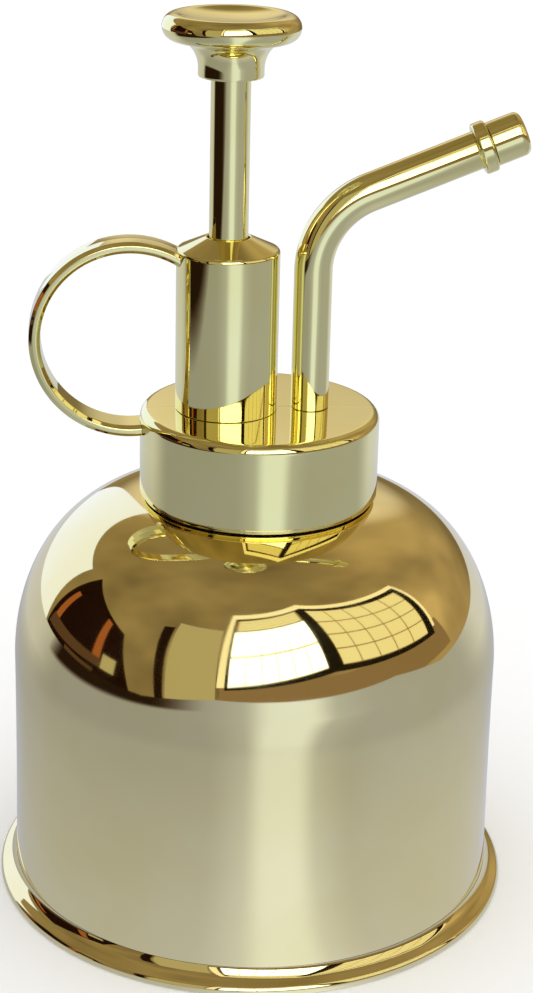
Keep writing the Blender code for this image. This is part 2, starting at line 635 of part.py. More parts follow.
# ---- head: outlet valve, spout and nozzle ------------------------------------------------------------

def make_outlet_valve(steel, rubber, spout_axis):
    centre = seated_height(OUTLET_SEAT, PORT_BORE, OUTLET_BALL_RADIUS)
    outlet_ball = ball("outlet_ball", steel, spout_axis, OUTLET_BALL_RADIUS, centre)
    coil_radius = VALVE_BORE - GAP - OUTLET_WIRE
    spring = wire_coil("outlet_spring", steel, spout_axis, coil_radius, OUTLET_WIRE,
                       centre + OUTLET_BALL_RADIUS + GAP, SPIGOT_FOOT - GAP, OUTLET_TURNS)
    seal_bottom = FLANGE_TOP - ORING_SECTION
    seal_outline = tube_outline(ORING_BORE - GAP, SPIGOT_BORE, seal_bottom, FLANGE_TOP)
    seal = lathe("spout_seal", seal_outline, rubber, spout_axis)
    return outlet_ball, spring, seal


def spout_stations():
    """Centre, direction and outer radius along the spout, from its spigot in the pump body to its tip."""
    lean = math.radians(SPOUT_ANGLE)
    away = Vector((math.cos(lean), 0.0, math.sin(lean)))
    corner = Vector((SPOUT_X, 0.0, SPOUT_CORNER))
    turn = math.radians(90 - SPOUT_ANGLE)
    tangent = SPOUT_BEND_RADIUS * math.tan(turn / 2)
    base = Vector((SPOUT_X, 0.0, 0.0))
    stations = [(base + UPWARD * SPIGOT_FOOT, UPWARD, SPIGOT_RADIUS),
                (base + UPWARD * SPOUT_SHOULDER, UPWARD, SPIGOT_RADIUS),
                (base + UPWARD * SPOUT_SHOULDER, UPWARD, SPOUT_RADIUS)]
    middle = corner - UPWARD * tangent + Vector((SPOUT_BEND_RADIUS, 0.0, 0.0))
    for i in range(BEND_STEPS + 1):
        angle = turn * i / BEND_STEPS
        out = Vector((-math.cos(angle), 0.0, math.sin(angle)))
        along = Vector((math.sin(angle), 0.0, math.cos(angle)))
        stations.append((middle + out * SPOUT_BEND_RADIUS, along, SPOUT_RADIUS))
    for distance, radius in ((SPOUT_REACH, SPOUT_RADIUS), (SPOUT_REACH, NOZZLE_SPIGOT_RADIUS),
                             (SPIGOT_TIP, NOZZLE_SPIGOT_RADIUS)):
        stations.append((corner + away * distance, away, radius))
    return stations


def make_spout(plated):
    stations = spout_stations()
    rings = [circle_at(centre, along, radius, COARSE) for centre, along, radius in stations]
    for centre, along, _ in reversed(stations[:2] + stations[3:-2] + stations[-1:]):
        rings.append(circle_at(centre, along, SPOUT_BORE, COARSE))
    return add_object("spout_tube", swept(rings, closed_loop=True), plated)


def make_nozzle(plated, rubber, plastic, nozzle_axis):
    collar_bore = SPOUT_RADIUS + GAP
    edge = 0.3 * MM
    collar_outline = [(collar_bore, COLLAR_START), (COLLAR_RADIUS - edge, COLLAR_START),
                      (COLLAR_RADIUS, COLLAR_START + edge), (COLLAR_RADIUS, SPOUT_REACH - edge + GAP),
                      (COLLAR_RADIUS - edge, SPOUT_REACH + GAP), (collar_bore, SPOUT_REACH + GAP)]
    collar = lathe("nozzle_collar", collar_outline, plated, nozzle_axis)
    end_wall = NOZZLE_TIP - NOZZLE_END_WALL
    bore = NOZZLE_SPIGOT_RADIUS + GAP
    outline = [(bore, NOZZLE_START), (NOZZLE_RADIUS, NOZZLE_START)]
    outline += arc(NOZZLE_RADIUS - NOZZLE_EDGE, NOZZLE_TIP - NOZZLE_EDGE, NOZZLE_EDGE, 0, 90, 4)
    outline += [(NOZZLE_ORIFICE, NOZZLE_TIP), (NOZZLE_ORIFICE, end_wall), (bore, end_wall)]
    cap = lathe("nozzle_cap", outline, plated, nozzle_axis)
    washer_top = end_wall - GAP
    washer_bottom = washer_top - WASHER_THICKNESS
    washer_outline = tube_outline(NOZZLE_SPIGOT_RADIUS, WASHER_BORE, washer_bottom, washer_top)
    washer = lathe("nozzle_washer", washer_outline, rubber, nozzle_axis)
    return collar, cap, washer, make_swirl_core(plastic, nozzle_axis)


def make_swirl_core(plastic, nozzle_axis):
    """A plug in the spout's end, cut flat on two sides so that the water spins past it to the orifice."""
    radius = SPOUT_BORE - GAP
    outline = rod_outline(radius, SPIGOT_TIP - SWIRL_LENGTH, SPIGOT_TIP)
    core = lathe("swirl_core", outline, plastic, nozzle_axis)
    for name, side in (("swirl_flat_left", -1), ("swirl_flat_right", 1)):
        near = side * (radius - SWIRL_FLAT)
        far = side * (radius + MM)
        low = (min(near, far), -radius - MM, SPIGOT_TIP - SWIRL_LENGTH - MM)
        high = (max(near, far), radius + MM, SPIGOT_TIP + MM)
        boolean(core, block(name, low, high, nozzle_axis), "DIFFERENCE")
    return core


# ---- plunger -----------------------------------------------------------------------------------------

def make_knob(plated, pump_axis):
    """The push knob: a dished top in a rounded rim, flared down to a short neck that takes the rod."""
    rim_r = KNOB_RADIUS - KNOB_RIM
    rim_z = KNOB_TOP - KNOB_RIM
    under_z = rim_z - KNOB_RIM
    outline = [(0.0, KNOB_TOP - KNOB_DISH), (rim_r / 2, KNOB_TOP - KNOB_DISH * 0.75)]
    outline += arc(rim_r, rim_z, KNOB_RIM, 110, -90, 10)
    steps = 6
    for i in range(1, steps + 1):
        angle = math.pi / 2 * i / steps
        outline.append((rim_r - (rim_r - KNOB_NECK_RADIUS) * math.sin(angle),
                        under_z - KNOB_FLARE * (1 - math.cos(angle))))
    socket = ROD_RADIUS + GAP
    outline += [(KNOB_NECK_RADIUS, KNOB_BOTTOM + GAP), (KNOB_NECK_RADIUS - GAP, KNOB_BOTTOM),
                (socket, KNOB_BOTTOM), (socket, KNOB_BOTTOM + KNOB_SOCKET), (0.0, KNOB_BOTTOM + KNOB_SOCKET)]
    return lathe("push_knob", outline, plated, pump_axis, MEDIUM)


def make_rod(plated, pump_axis):
    foot = PISTON_TOP + GAP
    top = KNOB_BOTTOM + KNOB_SOCKET - GAP
    outline = [(0.0, foot - ROD_PIN_LENGTH), (ROD_PIN_RADIUS, foot - ROD_PIN_LENGTH), (ROD_PIN_RADIUS, foot),
               (ROD_RADIUS, foot), (ROD_RADIUS, top), (0.0, top)]
    return lathe("piston_rod", outline, plated, pump_axis)


def make_piston(plastic, rubber, steel, pump_axis):
    """The piston snapped on the rod, the cup seal in its groove, and the spring that lifts it."""
    outer = CYLINDER_BORE - 1.5 * GAP
    seal_bottom = PISTON_BOTTOM + PISTON_FLANGE
    seal_top = seal_bottom + SEAL_HEIGHT
    socket = ROD_PIN_RADIUS + GAP
    socket_floor = PISTON_TOP + GAP - ROD_PIN_LENGTH - GAP
    outline = [(0.0, PISTON_BOTTOM), (outer, PISTON_BOTTOM), (outer, seal_bottom),
               (ROD_PIN_RADIUS, seal_bottom), (ROD_PIN_RADIUS, seal_top), (outer, seal_top),
               (outer, PISTON_TOP), (socket, PISTON_TOP), (socket, socket_floor), (0.0, socket_floor)]
    head = lathe("piston_head", outline, plastic, pump_axis)
    seal = lathe("piston_seal", tube_outline(CYLINDER_BORE - GAP, socket, seal_bottom + GAP, seal_top - GAP),
                 rubber, pump_axis)
    coil_radius = CYLINDER_BORE - 2 * GAP - SPRING_WIRE
    spring = wire_coil("return_spring", steel, pump_axis, coil_radius, SPRING_WIRE, SPRING_BOTTOM, SPRING_TOP,
                       SPRING_TURNS)
    return head, seal, spring


# ---- build -------------------------------------------------------------------------------------------

clear_scene()

body_metal = make_material("plated_steel", (0.80, 0.69, 0.42), 0.12, 1.0)
plated_plastic = make_material("plated_abs", (0.82, 0.70, 0.38), 0.10, 1.0)
brass_metal = make_material("drawn_brass", (0.74, 0.58, 0.30), 0.30, 1.0)
steel_wire = make_material("stainless_steel", (0.62, 0.62, 0.61), 0.25, 1.0)
white_plastic = make_material("natural_polypropylene", (0.83, 0.83, 0.79), 0.45, 0.0)
black_rubber = make_material("nitrile_rubber", (0.04, 0.04, 0.04), 0.70, 0.0)

pump_axis = add_axis("pump_axis", (BARREL_X, 0.0, 0.0))
spout_axis = add_axis("spout_axis", (SPOUT_X, 0.0, 0.0))
nozzle_axis = add_axis("nozzle_axis", (SPOUT_X, 0.0, SPOUT_CORNER), math.radians(90 - SPOUT_ANGLE))

make_bottle_shell(body_metal)
make_base_pan(body_metal)
make_neck(body_metal)
make_gasket(black_rubber)
make_cap_shell(plated_plastic)
make_cap_liner(white_plastic)
make_finger_ring(plated_plastic)
make_barrel(plated_plastic, pump_axis)
make_rod_guide(white_plastic, black_rubber, pump_axis)
make_pump_body(white_plastic, pump_axis)
make_cylinder(brass_metal, pump_axis)
make_ball_cage(white_plastic, pump_axis)
make_inlet(white_plastic, steel_wire, pump_axis)
make_outlet_valve(steel_wire, black_rubber, spout_axis)
make_spout(plated_plastic)
make_nozzle(plated_plastic, black_rubber, white_plastic, nozzle_axis)
make_knob(plated_plastic, pump_axis)
make_rod(plated_plastic, pump_axis)
make_piston(white_plastic, black_rubber, steel_wire, pump_axis)
bpy.context.view_layer.update()
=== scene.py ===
"""A hand mister for plants, put together from the bottle up to the push knob, with its studio.

Units are metres. +Z is up, +X points to the spout, and the bottle's axis is the Z axis.
"""

import math

import bmesh
import bpy
from mathutils import Matrix, Vector


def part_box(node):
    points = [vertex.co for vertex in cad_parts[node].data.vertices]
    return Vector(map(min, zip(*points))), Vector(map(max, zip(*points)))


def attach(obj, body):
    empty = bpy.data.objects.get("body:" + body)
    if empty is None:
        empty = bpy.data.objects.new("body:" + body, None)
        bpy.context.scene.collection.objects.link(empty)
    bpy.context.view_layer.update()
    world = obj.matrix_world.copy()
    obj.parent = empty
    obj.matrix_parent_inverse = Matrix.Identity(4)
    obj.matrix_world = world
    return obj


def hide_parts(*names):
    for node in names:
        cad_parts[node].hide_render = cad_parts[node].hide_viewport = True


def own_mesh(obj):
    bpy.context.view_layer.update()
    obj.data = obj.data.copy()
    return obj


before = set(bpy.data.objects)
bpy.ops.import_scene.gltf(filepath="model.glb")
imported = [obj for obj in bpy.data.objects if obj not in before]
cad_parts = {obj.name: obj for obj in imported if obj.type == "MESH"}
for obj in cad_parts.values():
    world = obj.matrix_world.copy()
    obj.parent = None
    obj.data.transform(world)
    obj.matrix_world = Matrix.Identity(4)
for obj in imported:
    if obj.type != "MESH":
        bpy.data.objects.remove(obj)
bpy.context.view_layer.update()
MM = 0.001


# ---- Bottle --------------------------------------------------------------------------------------
# Steel sheet drawn to a cup with a domed end, polished to a mirror and plated a pale brass gold
# under clear lacquer. The wall runs into the dome with no line, so one rule makes both.

SHELL_WALL = 0.8 * MM
FOOT_FLARE = 0.4 * MM               # how much wider the wall is at its foot
SHOULDER_HEIGHT = 39.9 * MM         # where the wall ends and the dome begins
DOME_HEIGHT = 28.5 * MM
DOME_OUT_POWER = 3.73               # how square the dome's curve is sideways
DOME_UP_POWER = 1.96                # and upwards; 2 is an ellipse
MOUTH_RADIUS = 14.6 * MM
BOTTLE_SIDES = 288
BOTTLE_ROWS = 150
WALL_ROWS_SHARE = 0.3               # part of the rows that the plain wall takes
HAIR_LENGTH = MM / 0.06             # 17 mm, of the hairlines that polishing leaves round the wall
HAIR_GAP = MM / 2.6                 # 0.4 mm between them, coarser than real ones so that they show


def linear(hex_colour):
    """A hex sRGB colour as linear RGBA."""
    channels = [int(hex_colour[i:i + 2], 16) / 255 for i in (1, 3, 5)]
    return (*[c / 12.92 if c <= 0.04045 else ((c + 0.055) / 1.055) ** 2.4 for c in channels], 1.0)


def add(tree, kind, inputs=None, **settings):
    """Adds a node. An input is named or numbered, and takes a value, a socket or a node's first output."""
    node = tree.nodes.new(kind)
    for name, value in settings.items():
        setattr(node, name, value)
    for name, value in (inputs or {}).items():
        if isinstance(value, bpy.types.Node):
            value = value.outputs[0]
        if isinstance(value, bpy.types.NodeSocket):
            tree.links.new(value, node.inputs[name])
        else:
            node.inputs[name].default_value = value
    return node


def plated_finish(name, pale, deep, roughness, wave, ripple):
    """Mirror plating. wave and ripple are the heights of the slow and the small waves in its polish."""
    material = bpy.data.materials.new(name)
    material.use_nodes = True
    tree = material.node_tree
    shader = tree.nodes["Principled BSDF"]
    shader.inputs["Metallic"].default_value = 1.0
    place = add(tree, "ShaderNodeTexCoord").outputs["Object"]

    tint = add(tree, "ShaderNodeTexNoise", {"Vector": place, "Scale": 0.045 / MM, "Detail": 3.0})
    shade = add(tree, "ShaderNodeMapRange", {0: tint.outputs["Fac"], 1: 0.35, 2: 0.65})
    colour = add(tree, "ShaderNodeMix", {"Factor": shade, 6: linear(pale), 7: linear(deep)},
                 data_type="RGBA")
    tree.links.new(colour.outputs[2], shader.inputs["Base Color"])

    rubbed = add(tree, "ShaderNodeMapping", {"Vector": place,
                                             "Scale": (1 / HAIR_LENGTH, 1 / HAIR_LENGTH, 1 / HAIR_GAP)})
    lines = add(tree, "ShaderNodeTexNoise", {"Vector": rubbed, "Scale": 1.0, "Detail": 2.0})
    haze = add(tree, "ShaderNodeTexNoise", {"Vector": place, "Scale": 0.07 / MM, "Detail": 5.0,
                                            "Roughness": 0.6})
    hazed = add(tree, "ShaderNodeMapRange", {0: haze.outputs["Fac"], 1: 0.5, 2: 0.75, 3: 0.0, 4: 0.035})
    lined = add(tree, "ShaderNodeMath", {0: lines.outputs["Fac"], 1: 0.012}, operation="MULTIPLY")
    soft = add(tree, "ShaderNodeMath", {0: hazed, 1: lined}, operation="ADD")
    rough = add(tree, "ShaderNodeMath", {0: soft, 1: roughness}, operation="ADD")
    tree.links.new(rough.outputs[0], shader.inputs["Roughness"])

    slow = add(tree, "ShaderNodeTexNoise", {"Vector": place, "Scale": 0.038 / MM, "Detail": 0.0})
    waves = add(tree, "ShaderNodeBump", {"Height": slow.outputs["Fac"], "Distance": wave})
    small = add(tree, "ShaderNodeTexNoise", {"Vector": place, "Scale": 0.26 / MM, "Detail": 1.0})
    ripples = add(tree, "ShaderNodeBump", {"Height": small.outputs["Fac"], "Distance": ripple,
                                           "Normal": waves})
    tree.links.new(ripples.outputs[0], shader.inputs["Normal"])
    return material


# Gold-plated steel: a deep pale-gold mirror whose reflections bend slowly, over the waves that the
# drawing left, with a faint haze in patches and level hairlines.
plated_steel = plated_finish("gold_plated_steel", "#F7EBB6", "#F3E5AA", 0.035, 0.04 * MM, 0.0008 * MM)


def grow(name, tree, sizes):
    """Runs a Geometry Nodes tree with its named sizes and keeps the result as a plain mesh object."""
    obj = bpy.data.objects.new(name, bpy.data.meshes.new(name))
    bpy.context.scene.collection.objects.link(obj)
    modifier = obj.modifiers.new(name, "NODES")
    modifier.node_group = tree
    for socket in tree.interface.items_tree:
        if socket.in_out == "INPUT" and socket.name in sizes:
            modifier[socket.identifier] = sizes[socket.name]
    bpy.context.view_layer.update()
    grown = bpy.data.meshes.new_from_object(obj.evaluated_get(bpy.context.evaluated_depsgraph_get()))
    obj.modifiers.clear()
    obj.data = grown
    return obj


def node_tree(name, sizes):
    """An empty Geometry Nodes tree with one float input for each named size."""
    tree = bpy.data.node_groups.new(name, "GeometryNodeTree")
    tree.interface.new_socket("Geometry", in_out="OUTPUT", socket_type="NodeSocketGeometry")
    for size in sizes:
        tree.interface.new_socket(size, in_out="INPUT", socket_type="NodeSocketFloat")
    return tree, add(tree, "NodeGroupInput").outputs


def end_tree(tree, geometry, material):
    """Ends a tree: real geometry, smooth faces, its material, and the output."""
    real = add(tree, "GeometryNodeRealizeInstances", {0: geometry})
    smooth = add(tree, "GeometryNodeSetShadeSmooth", {0: real})
    painted = add(tree, "GeometryNodeSetMaterial", {0: smooth, "Material": material})
    add(tree, "NodeGroupOutput", {0: painted})


def bottle_tree(material):
    """A grid bent round the axis. Across it goes round; up it climbs the wall and then the dome."""
    tree, size = node_tree("bottle_rule", ("Shoulder Radius", "Foot Flare", "Foot Height",
                                           "Shoulder Height", "Dome Height", "Out Power", "Up Power",
                                           "Last Angle"))
    grid = add(tree, "GeometryNodeMeshGrid", {"Size X": 1.0, "Size Y": 1.0,
                                              "Vertices X": BOTTLE_SIDES + 1, "Vertices Y": BOTTLE_ROWS})
    place = add(tree, "ShaderNodeSeparateXYZ", {0: add(tree, "GeometryNodeInputPosition").outputs[0]})

    round_turn = add(tree, "ShaderNodeMath", {0: place.outputs["X"], 1: 2 * math.pi}, operation="MULTIPLY")
    climb = add(tree, "ShaderNodeMath", {0: place.outputs["Y"], 1: 0.5}, operation="ADD")
    on_wall = add(tree, "ShaderNodeMapRange", {0: climb, 1: 0.0, 2: WALL_ROWS_SHARE})
    on_dome = add(tree, "ShaderNodeMapRange", {0: climb, 1: WALL_ROWS_SHARE, 2: 1.0})
    angle = add(tree, "ShaderNodeMath", {0: on_dome, 1: size["Last Angle"]}, operation="MULTIPLY")

    # The dome is a superellipse: each way a circle's share to the power of 2 over its own power.
    dome = {}
    for way, wave, power in (("out", "COSINE", "Out Power"), ("up", "SINE", "Up Power")):
        share = add(tree, "ShaderNodeMath", {0: angle}, operation=wave)
        bend = add(tree, "ShaderNodeMath", {0: 2.0, 1: size[power]}, operation="DIVIDE")
        dome[way] = add(tree, "ShaderNodeMath", {0: share, 1: bend}, operation="POWER")

    below = add(tree, "ShaderNodeMath", {0: 1.0, 1: on_wall}, operation="SUBTRACT")
    eased = add(tree, "ShaderNodeMath", {0: below, 1: below}, operation="MULTIPLY")
    flare = add(tree, "ShaderNodeMath", {0: size["Foot Flare"], 1: eased}, operation="MULTIPLY")
    radius = add(tree, "ShaderNodeMath", {0: size["Shoulder Radius"], 1: dome["out"], 2: flare},
                 operation="MULTIPLY_ADD")
    drop = add(tree, "ShaderNodeMath", {0: size["Foot Height"], 1: size["Shoulder Height"]},
               operation="SUBTRACT")
    wall = add(tree, "ShaderNodeMath", {0: below, 1: drop, 2: size["Shoulder Height"]},
               operation="MULTIPLY_ADD")
    height = add(tree, "ShaderNodeMath", {0: size["Dome Height"], 1: dome["up"], 2: wall},
                 operation="MULTIPLY_ADD")

    # Round the axis at that radius.
    cosine = add(tree, "ShaderNodeMath", {0: round_turn}, operation="COSINE")
    sine = add(tree, "ShaderNodeMath", {0: round_turn}, operation="SINE")
    x = add(tree, "ShaderNodeMath", {0: radius, 1: cosine}, operation="MULTIPLY")
    y = add(tree, "ShaderNodeMath", {0: radius, 1: sine}, operation="MULTIPLY")
    spot = add(tree, "ShaderNodeCombineXYZ", {0: x, 1: y, 2: height})
    bent = add(tree, "GeometryNodeSetPosition", {"Geometry": grid.outputs["Mesh"],
                                                 "Position": spot})
    joined = add(tree, "GeometryNodeMergeByDistance", {"Geometry": bent, "Distance": 1e-6})
    end_tree(tree, joined.outputs[0], material)
    return tree


def finished(obj, body, slot, *nodes):
    """Hands a piece to the frame: its body and the plain solids it stands for. slot is not used."""
    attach(obj, body)
    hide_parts(*nodes)
    return obj


def outward(obj, sharp=40):
    """Welds a mesh, turns its faces outwards and shades it smooth up to an edge angle in degrees."""
    mesh_data = bmesh.new()
    mesh_data.from_mesh(obj.data)
    bmesh.ops.remove_doubles(mesh_data, verts=mesh_data.verts, dist=1e-7)
    bmesh.ops.recalc_face_normals(mesh_data, faces=mesh_data.faces)
    mesh_data.to_mesh(obj.data)
    mesh_data.free()
    obj.data.shade_smooth()
    obj.data.set_sharp_from_angle(angle=math.radians(sharp))
    return obj


shell_low, shell_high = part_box("bottle_shell")
body_radius = shell_high.x - FOOT_FLARE
foot_height = shell_low.z
bottle = grow("bottle", bottle_tree(plated_steel), {
    "Shoulder Radius": body_radius, "Foot Flare": FOOT_FLARE, "Foot Height": foot_height,
    "Shoulder Height": SHOULDER_HEIGHT, "Dome Height": DOME_HEIGHT, "Out Power": DOME_OUT_POWER,
    "Up Power": DOME_UP_POWER,
    "Last Angle": math.acos((MOUTH_RADIUS / body_radius) ** (DOME_OUT_POWER / 2))})
outward(bottle)
sheet = bottle.modifiers.new("sheet", "SOLIDIFY")
sheet.thickness = SHELL_WALL
sheet.offset = -1.0
finished(bottle, "bottle", "bottle_metal", "bottle_shell")


# ---- Foot ----------------------------------------------------------------------------------------
# A stamped steel disc pressed up inside the wall. Its edge is rolled outwards into the bead that
# the bottle stands on, so a dark line is left where bead and wall meet.

PAN_WALL = 0.8 * MM
PAN_ROUND = 0.9 * MM                # edge of the raised pan
SEAM_HALF = 0.1 * MM                # half the width of a mould's seam
HEM_FILLET = 3.0 * MM               # hollow in which the bead leaves the wall
HEM_LIP = 18                        # degrees that the hollow leans out where it leaves the wall
HEM_SLOPE = 62                      # degrees that the bead's top leans out at most
HEM_ROUND = 1.1 * MM                # upper half of the bead's outer edge
HEM_UNDER = 0.6 * MM                # lower half of that edge
HEM_WIDTH = 1.7 * MM                # from that edge in to where the bead's underside ends


def arc(centre, radius, start, end, steps):
    """Points on an arc of an outline, with angles in degrees from +r towards +z."""
    points = []
    for i in range(steps + 1):
        angle = math.radians(start + (end - start) * i / steps)
        points.append((centre[0] + radius * math.cos(angle), centre[1] + radius * math.sin(angle)))
    return points


def round_angles(sides, seam_turn):
    """Angles of a round section from 0. With a seam they gain two near 0 and two near pi."""
    angles = [2 * math.pi * i / sides for i in range(sides)]
    if seam_turn:
        angles += [seam_turn, math.pi - seam_turn, math.pi + seam_turn, 2 * math.pi - seam_turn]
    return sorted(angles)


def turned(name, outline, material, place=Matrix.Identity(4), sides=192, seam=0.0):
    """A turned piece. An outline that begins on the axis ends there; any other is closed to a ring.

    seam is the height of the ridges that a mould's halves leave in the plane y = 0.
    """
    widest = max(r for r, z in outline)
    angles = round_angles(sides, SEAM_HALF / widest if seam else 0.0)
    area = sum(a[0] * b[1] - b[0] * a[1] for a, b in zip(outline, outline[1:] + outline[:1]))
    verts, rings = [], []
    for k, (r, z) in enumerate(outline):
        along = Vector(outline[(k + 1) % len(outline)]) - Vector(outline[k - 1])
        out = Vector((along.y, -along.x)).normalized() * math.copysign(seam, area)
        round_here = angles if r > 1e-9 else [0.5]
        rings.append(range(len(verts), len(verts) + len(round_here)))
        for angle in round_here:
            ridge = out if abs(math.sin(angle)) < 1e-6 else Vector((0.0, 0.0))
            reach = r + ridge.x
            verts.append(place @ Vector((reach * math.cos(angle), reach * math.sin(angle), z + ridge.y)))
    if outline[0][0] > 1e-9:
        rings.append(rings[0])
    faces = []
    for low, high in zip(rings, rings[1:]):
        for i in range(len(angles)):
            j = (i + 1) % len(angles)
            corners = [low[i % len(low)], low[j % len(low)], high[j % len(high)], high[i % len(high)]]
            faces.append(list(dict.fromkeys(corners)))
    mesh = bpy.data.meshes.new(name)
    mesh.from_pydata(verts, [], [face for face in faces if len(face) > 2])
    mesh.materials.append(material)
    obj = bpy.data.objects.new(name, mesh)
    bpy.context.scene.collection.objects.link(obj)
    return outward(obj)


pan_low, pan_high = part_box("base_pan")
pan_edge = shell_high.x - SHELL_WALL - 0.05 * MM
pan_top = pan_high.z

# From the middle of the pan out to the wall and under it, then up outside it and down the bead.
hem_start = shell_high.x + 0.03 * MM
under_wall = foot_height - 0.06 * MM
hem_edge = arc((pan_high.x - HEM_ROUND, HEM_UNDER), HEM_ROUND, HEM_SLOPE, 0, 20)
hollow = arc((0.0, 0.0), HEM_FILLET, 180 + HEM_LIP, 180 + HEM_SLOPE, 20)
hollow_run = hollow[-1][0] - hollow[0][0]
slant = (hem_edge[0][0] - hem_start - hollow_run) / math.tan(math.radians(HEM_SLOPE))
hollow_low = hem_edge[0][1] + slant
pan_outline = [(0.0, pan_top), (pan_edge - 1.4 * MM, pan_top)]
pan_outline += arc((pan_edge - PAN_ROUND, pan_top - PAN_ROUND), PAN_ROUND, 90, 0, 6)
pan_outline += [(pan_edge, foot_height - 0.05 * MM), (shell_high.x - 0.3 * MM, under_wall)]
pan_outline += [(hem_start, under_wall)]
pan_outline += [(hem_start + r - hollow[0][0], hollow_low + z - hollow[-1][1]) for r, z in hollow]
pan_outline += hem_edge
pan_outline += arc((pan_high.x - HEM_UNDER, HEM_UNDER), HEM_UNDER, -10, -90, 12)
pan_outline += arc((pan_high.x - HEM_WIDTH, HEM_UNDER), HEM_UNDER, -90, -170, 10)
pan_outline += [(pan_edge - PAN_WALL, 1.6 * MM), (pan_edge - PAN_WALL, pan_top - 1.7 * MM)]
pan_outline += [(pan_edge - 1.6 * MM, pan_top - PAN_WALL), (0.0, pan_top - PAN_WALL)]
foot = turned("foot", pan_outline, plated_steel, sides=BOTTLE_SIDES)
finished(foot, "bottle", "bottle_metal", "base_pan")


# ---- Cap -----------------------------------------------------------------------------------------
# Moulded ABS, plated in the same gold: a plain band with a rounded upper edge and a set-back lip
# that nearly meets the dome. The mould's halves left a fine line across its top, and the barrel
# and the spout stand in two holes.

CAP_EDGE = 1.5 * MM
CAP_WALL = 1.3 * MM
CAP_TOP_WALL = 1.5 * MM
CROWN_STEPS = 20
HAIRLINE = 0.04 * MM                # open line where two plated pieces meet
SEAM = 0.012 * MM                   # height of the ridge that the mould's halves leave
BARREL_SPIGOT = 7.44 * MM
SPOUT_SPIGOT = 2.4 * MM
DRILL_PLAY = 0.1 * MM               # round each spigot in its hole
CAP_HEIGHT = 14.0 * MM              # without the set-back lip
CAP_LIP_STEP = 0.45 * MM            # how far the lip is set back
CAP_CROWN = 0.1 * MM                # how far the top's edge sinks below its middle


def rounded(corners, steps=5, hold=0.06 * MM):
    """An outline with a fillet at each corner (r, z, radius). A held point keeps the flats flat."""
    points = []
    for i, (r, z, radius) in enumerate(corners):
        here = Vector((r, z))
        if radius == 0.0:
            points.append((r, z))
            continue
        back = (Vector(corners[i - 1][:2]) - here).normalized()
        ahead = (Vector(corners[(i + 1) % len(corners)][:2]) - here).normalized()
        turn = math.pi - back.angle(ahead)
        reach = radius * math.tan(turn / 2)
        centre = here + (back + ahead).normalized() * radius / math.cos(turn / 2)
        first = here + back * reach - centre
        sweep = -first.angle_signed(here + ahead * reach - centre)
        points.append(tuple(here + back * (reach + hold)))
        for k in range(steps + 1):
            points.append(tuple(centre + Matrix.Rotation(sweep * k / steps, 2) @ first))
        points.append(tuple(here + ahead * (reach + hold)))
    return points


def cut(obj, tool):
    """Cuts one piece with another's shape and removes the tool."""
    modifier = obj.modifiers.new("cut", "BOOLEAN")
    modifier.object = tool
    modifier.operation = "DIFFERENCE"
    bpy.context.view_layer.update()
    shaped = bpy.data.meshes.new_from_object(obj.evaluated_get(bpy.context.evaluated_depsgraph_get()))
    obj.modifiers.clear()
    obj.data = shaped
    bpy.data.objects.remove(tool)
    obj.data.shade_smooth()
    obj.data.set_sharp_from_angle(angle=math.radians(40))
    return obj


# Gold-plated ABS: the same mirror, a little greener, with the small ripple of a moulded surface.
plated_abs = plated_finish("gold_plated_abs", "#F5EEB2", "#F1E8A4", 0.03, 0.03 * MM, 0.003 * MM)
cap_low, cap_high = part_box("cap_shell")
barrel_low, barrel_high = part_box("barrel_housing")
seal_low, seal_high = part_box("spout_seal")
barrel_x = (barrel_low.x + barrel_high.x) / 2
spout_x = (seal_low.x + seal_high.x) / 2
cap_radius = cap_high.x
cap_top = cap_high.z
cap_inner = cap_radius - CAP_WALL
cap_foot = cap_top - CAP_HEIGHT
lip_radius = cap_radius - CAP_LIP_STEP
cap_outline = []
crown_edge = cap_radius - CAP_EDGE
for i in range(CROWN_STEPS):
    share = i / CROWN_STEPS
    cap_outline.append((crown_edge * share, cap_top - CAP_CROWN * share ** 3))
cap_outline += arc((crown_edge, cap_top - CAP_CROWN - CAP_EDGE), CAP_EDGE, 90, 0, 16)
cap_outline += rounded([
    (cap_radius, cap_top - CAP_CROWN - CAP_EDGE - 0.1 * MM, 0.0), (cap_radius, cap_foot, 0.2 * MM),
    (lip_radius, cap_foot, 0.0), (lip_radius, cap_low.z, 0.1 * MM),
    (cap_inner, cap_low.z + 0.15 * MM, 0.1 * MM), (cap_inner, cap_top - CAP_TOP_WALL, 0.3 * MM),
    (0.0, cap_top - CAP_TOP_WALL, 0.0)], steps=10)
cap = turned("cap", cap_outline, plated_abs, sides=BOTTLE_SIDES, seam=SEAM)
for hole_x, spigot in ((barrel_x, BARREL_SPIGOT), (spout_x, SPOUT_SPIGOT)):
    hole = spigot + DRILL_PLAY
    drill_low = cap_top - 2 * CAP_TOP_WALL
    drill_top = cap_top + MM
    drill = turned("drill", [(0.0, drill_low), (hole, drill_low), (hole, drill_top), (0.0, drill_top)],
                   plated_abs, Matrix.Translation((hole_x, 0, 0)), sides=96)
    cut(cap, drill)
finished(cap, "head", "plated_plastic", "cap_shell")


# ---- Finger ring ---------------------------------------------------------------------------------
# A plated strip moulded with the head, bent round from the cap's side to the barrel's upper edge.
# Its long edges are bevelled and softened, which draws bright and dark lines along it.

RING_THICKNESS = 1.85 * MM
RING_BEVEL = 0.58 * MM
RING_SOFT = 0.3 * MM                # radius of the bevels' own edges
RING_DROP = 4.1 * MM                # of the ring's lowest point under the cap's top
RING_OFFSET = 1.6 * MM              # of the ring's middle out from the cap's side
RING_STEPS = 160
RING_OVERRUN = 8                    # degrees past both ends, cut off to fit the cap and barrel
BARREL_CONE = 2.2 * MM              # height of the barrel's cone, over the edge the ring reaches


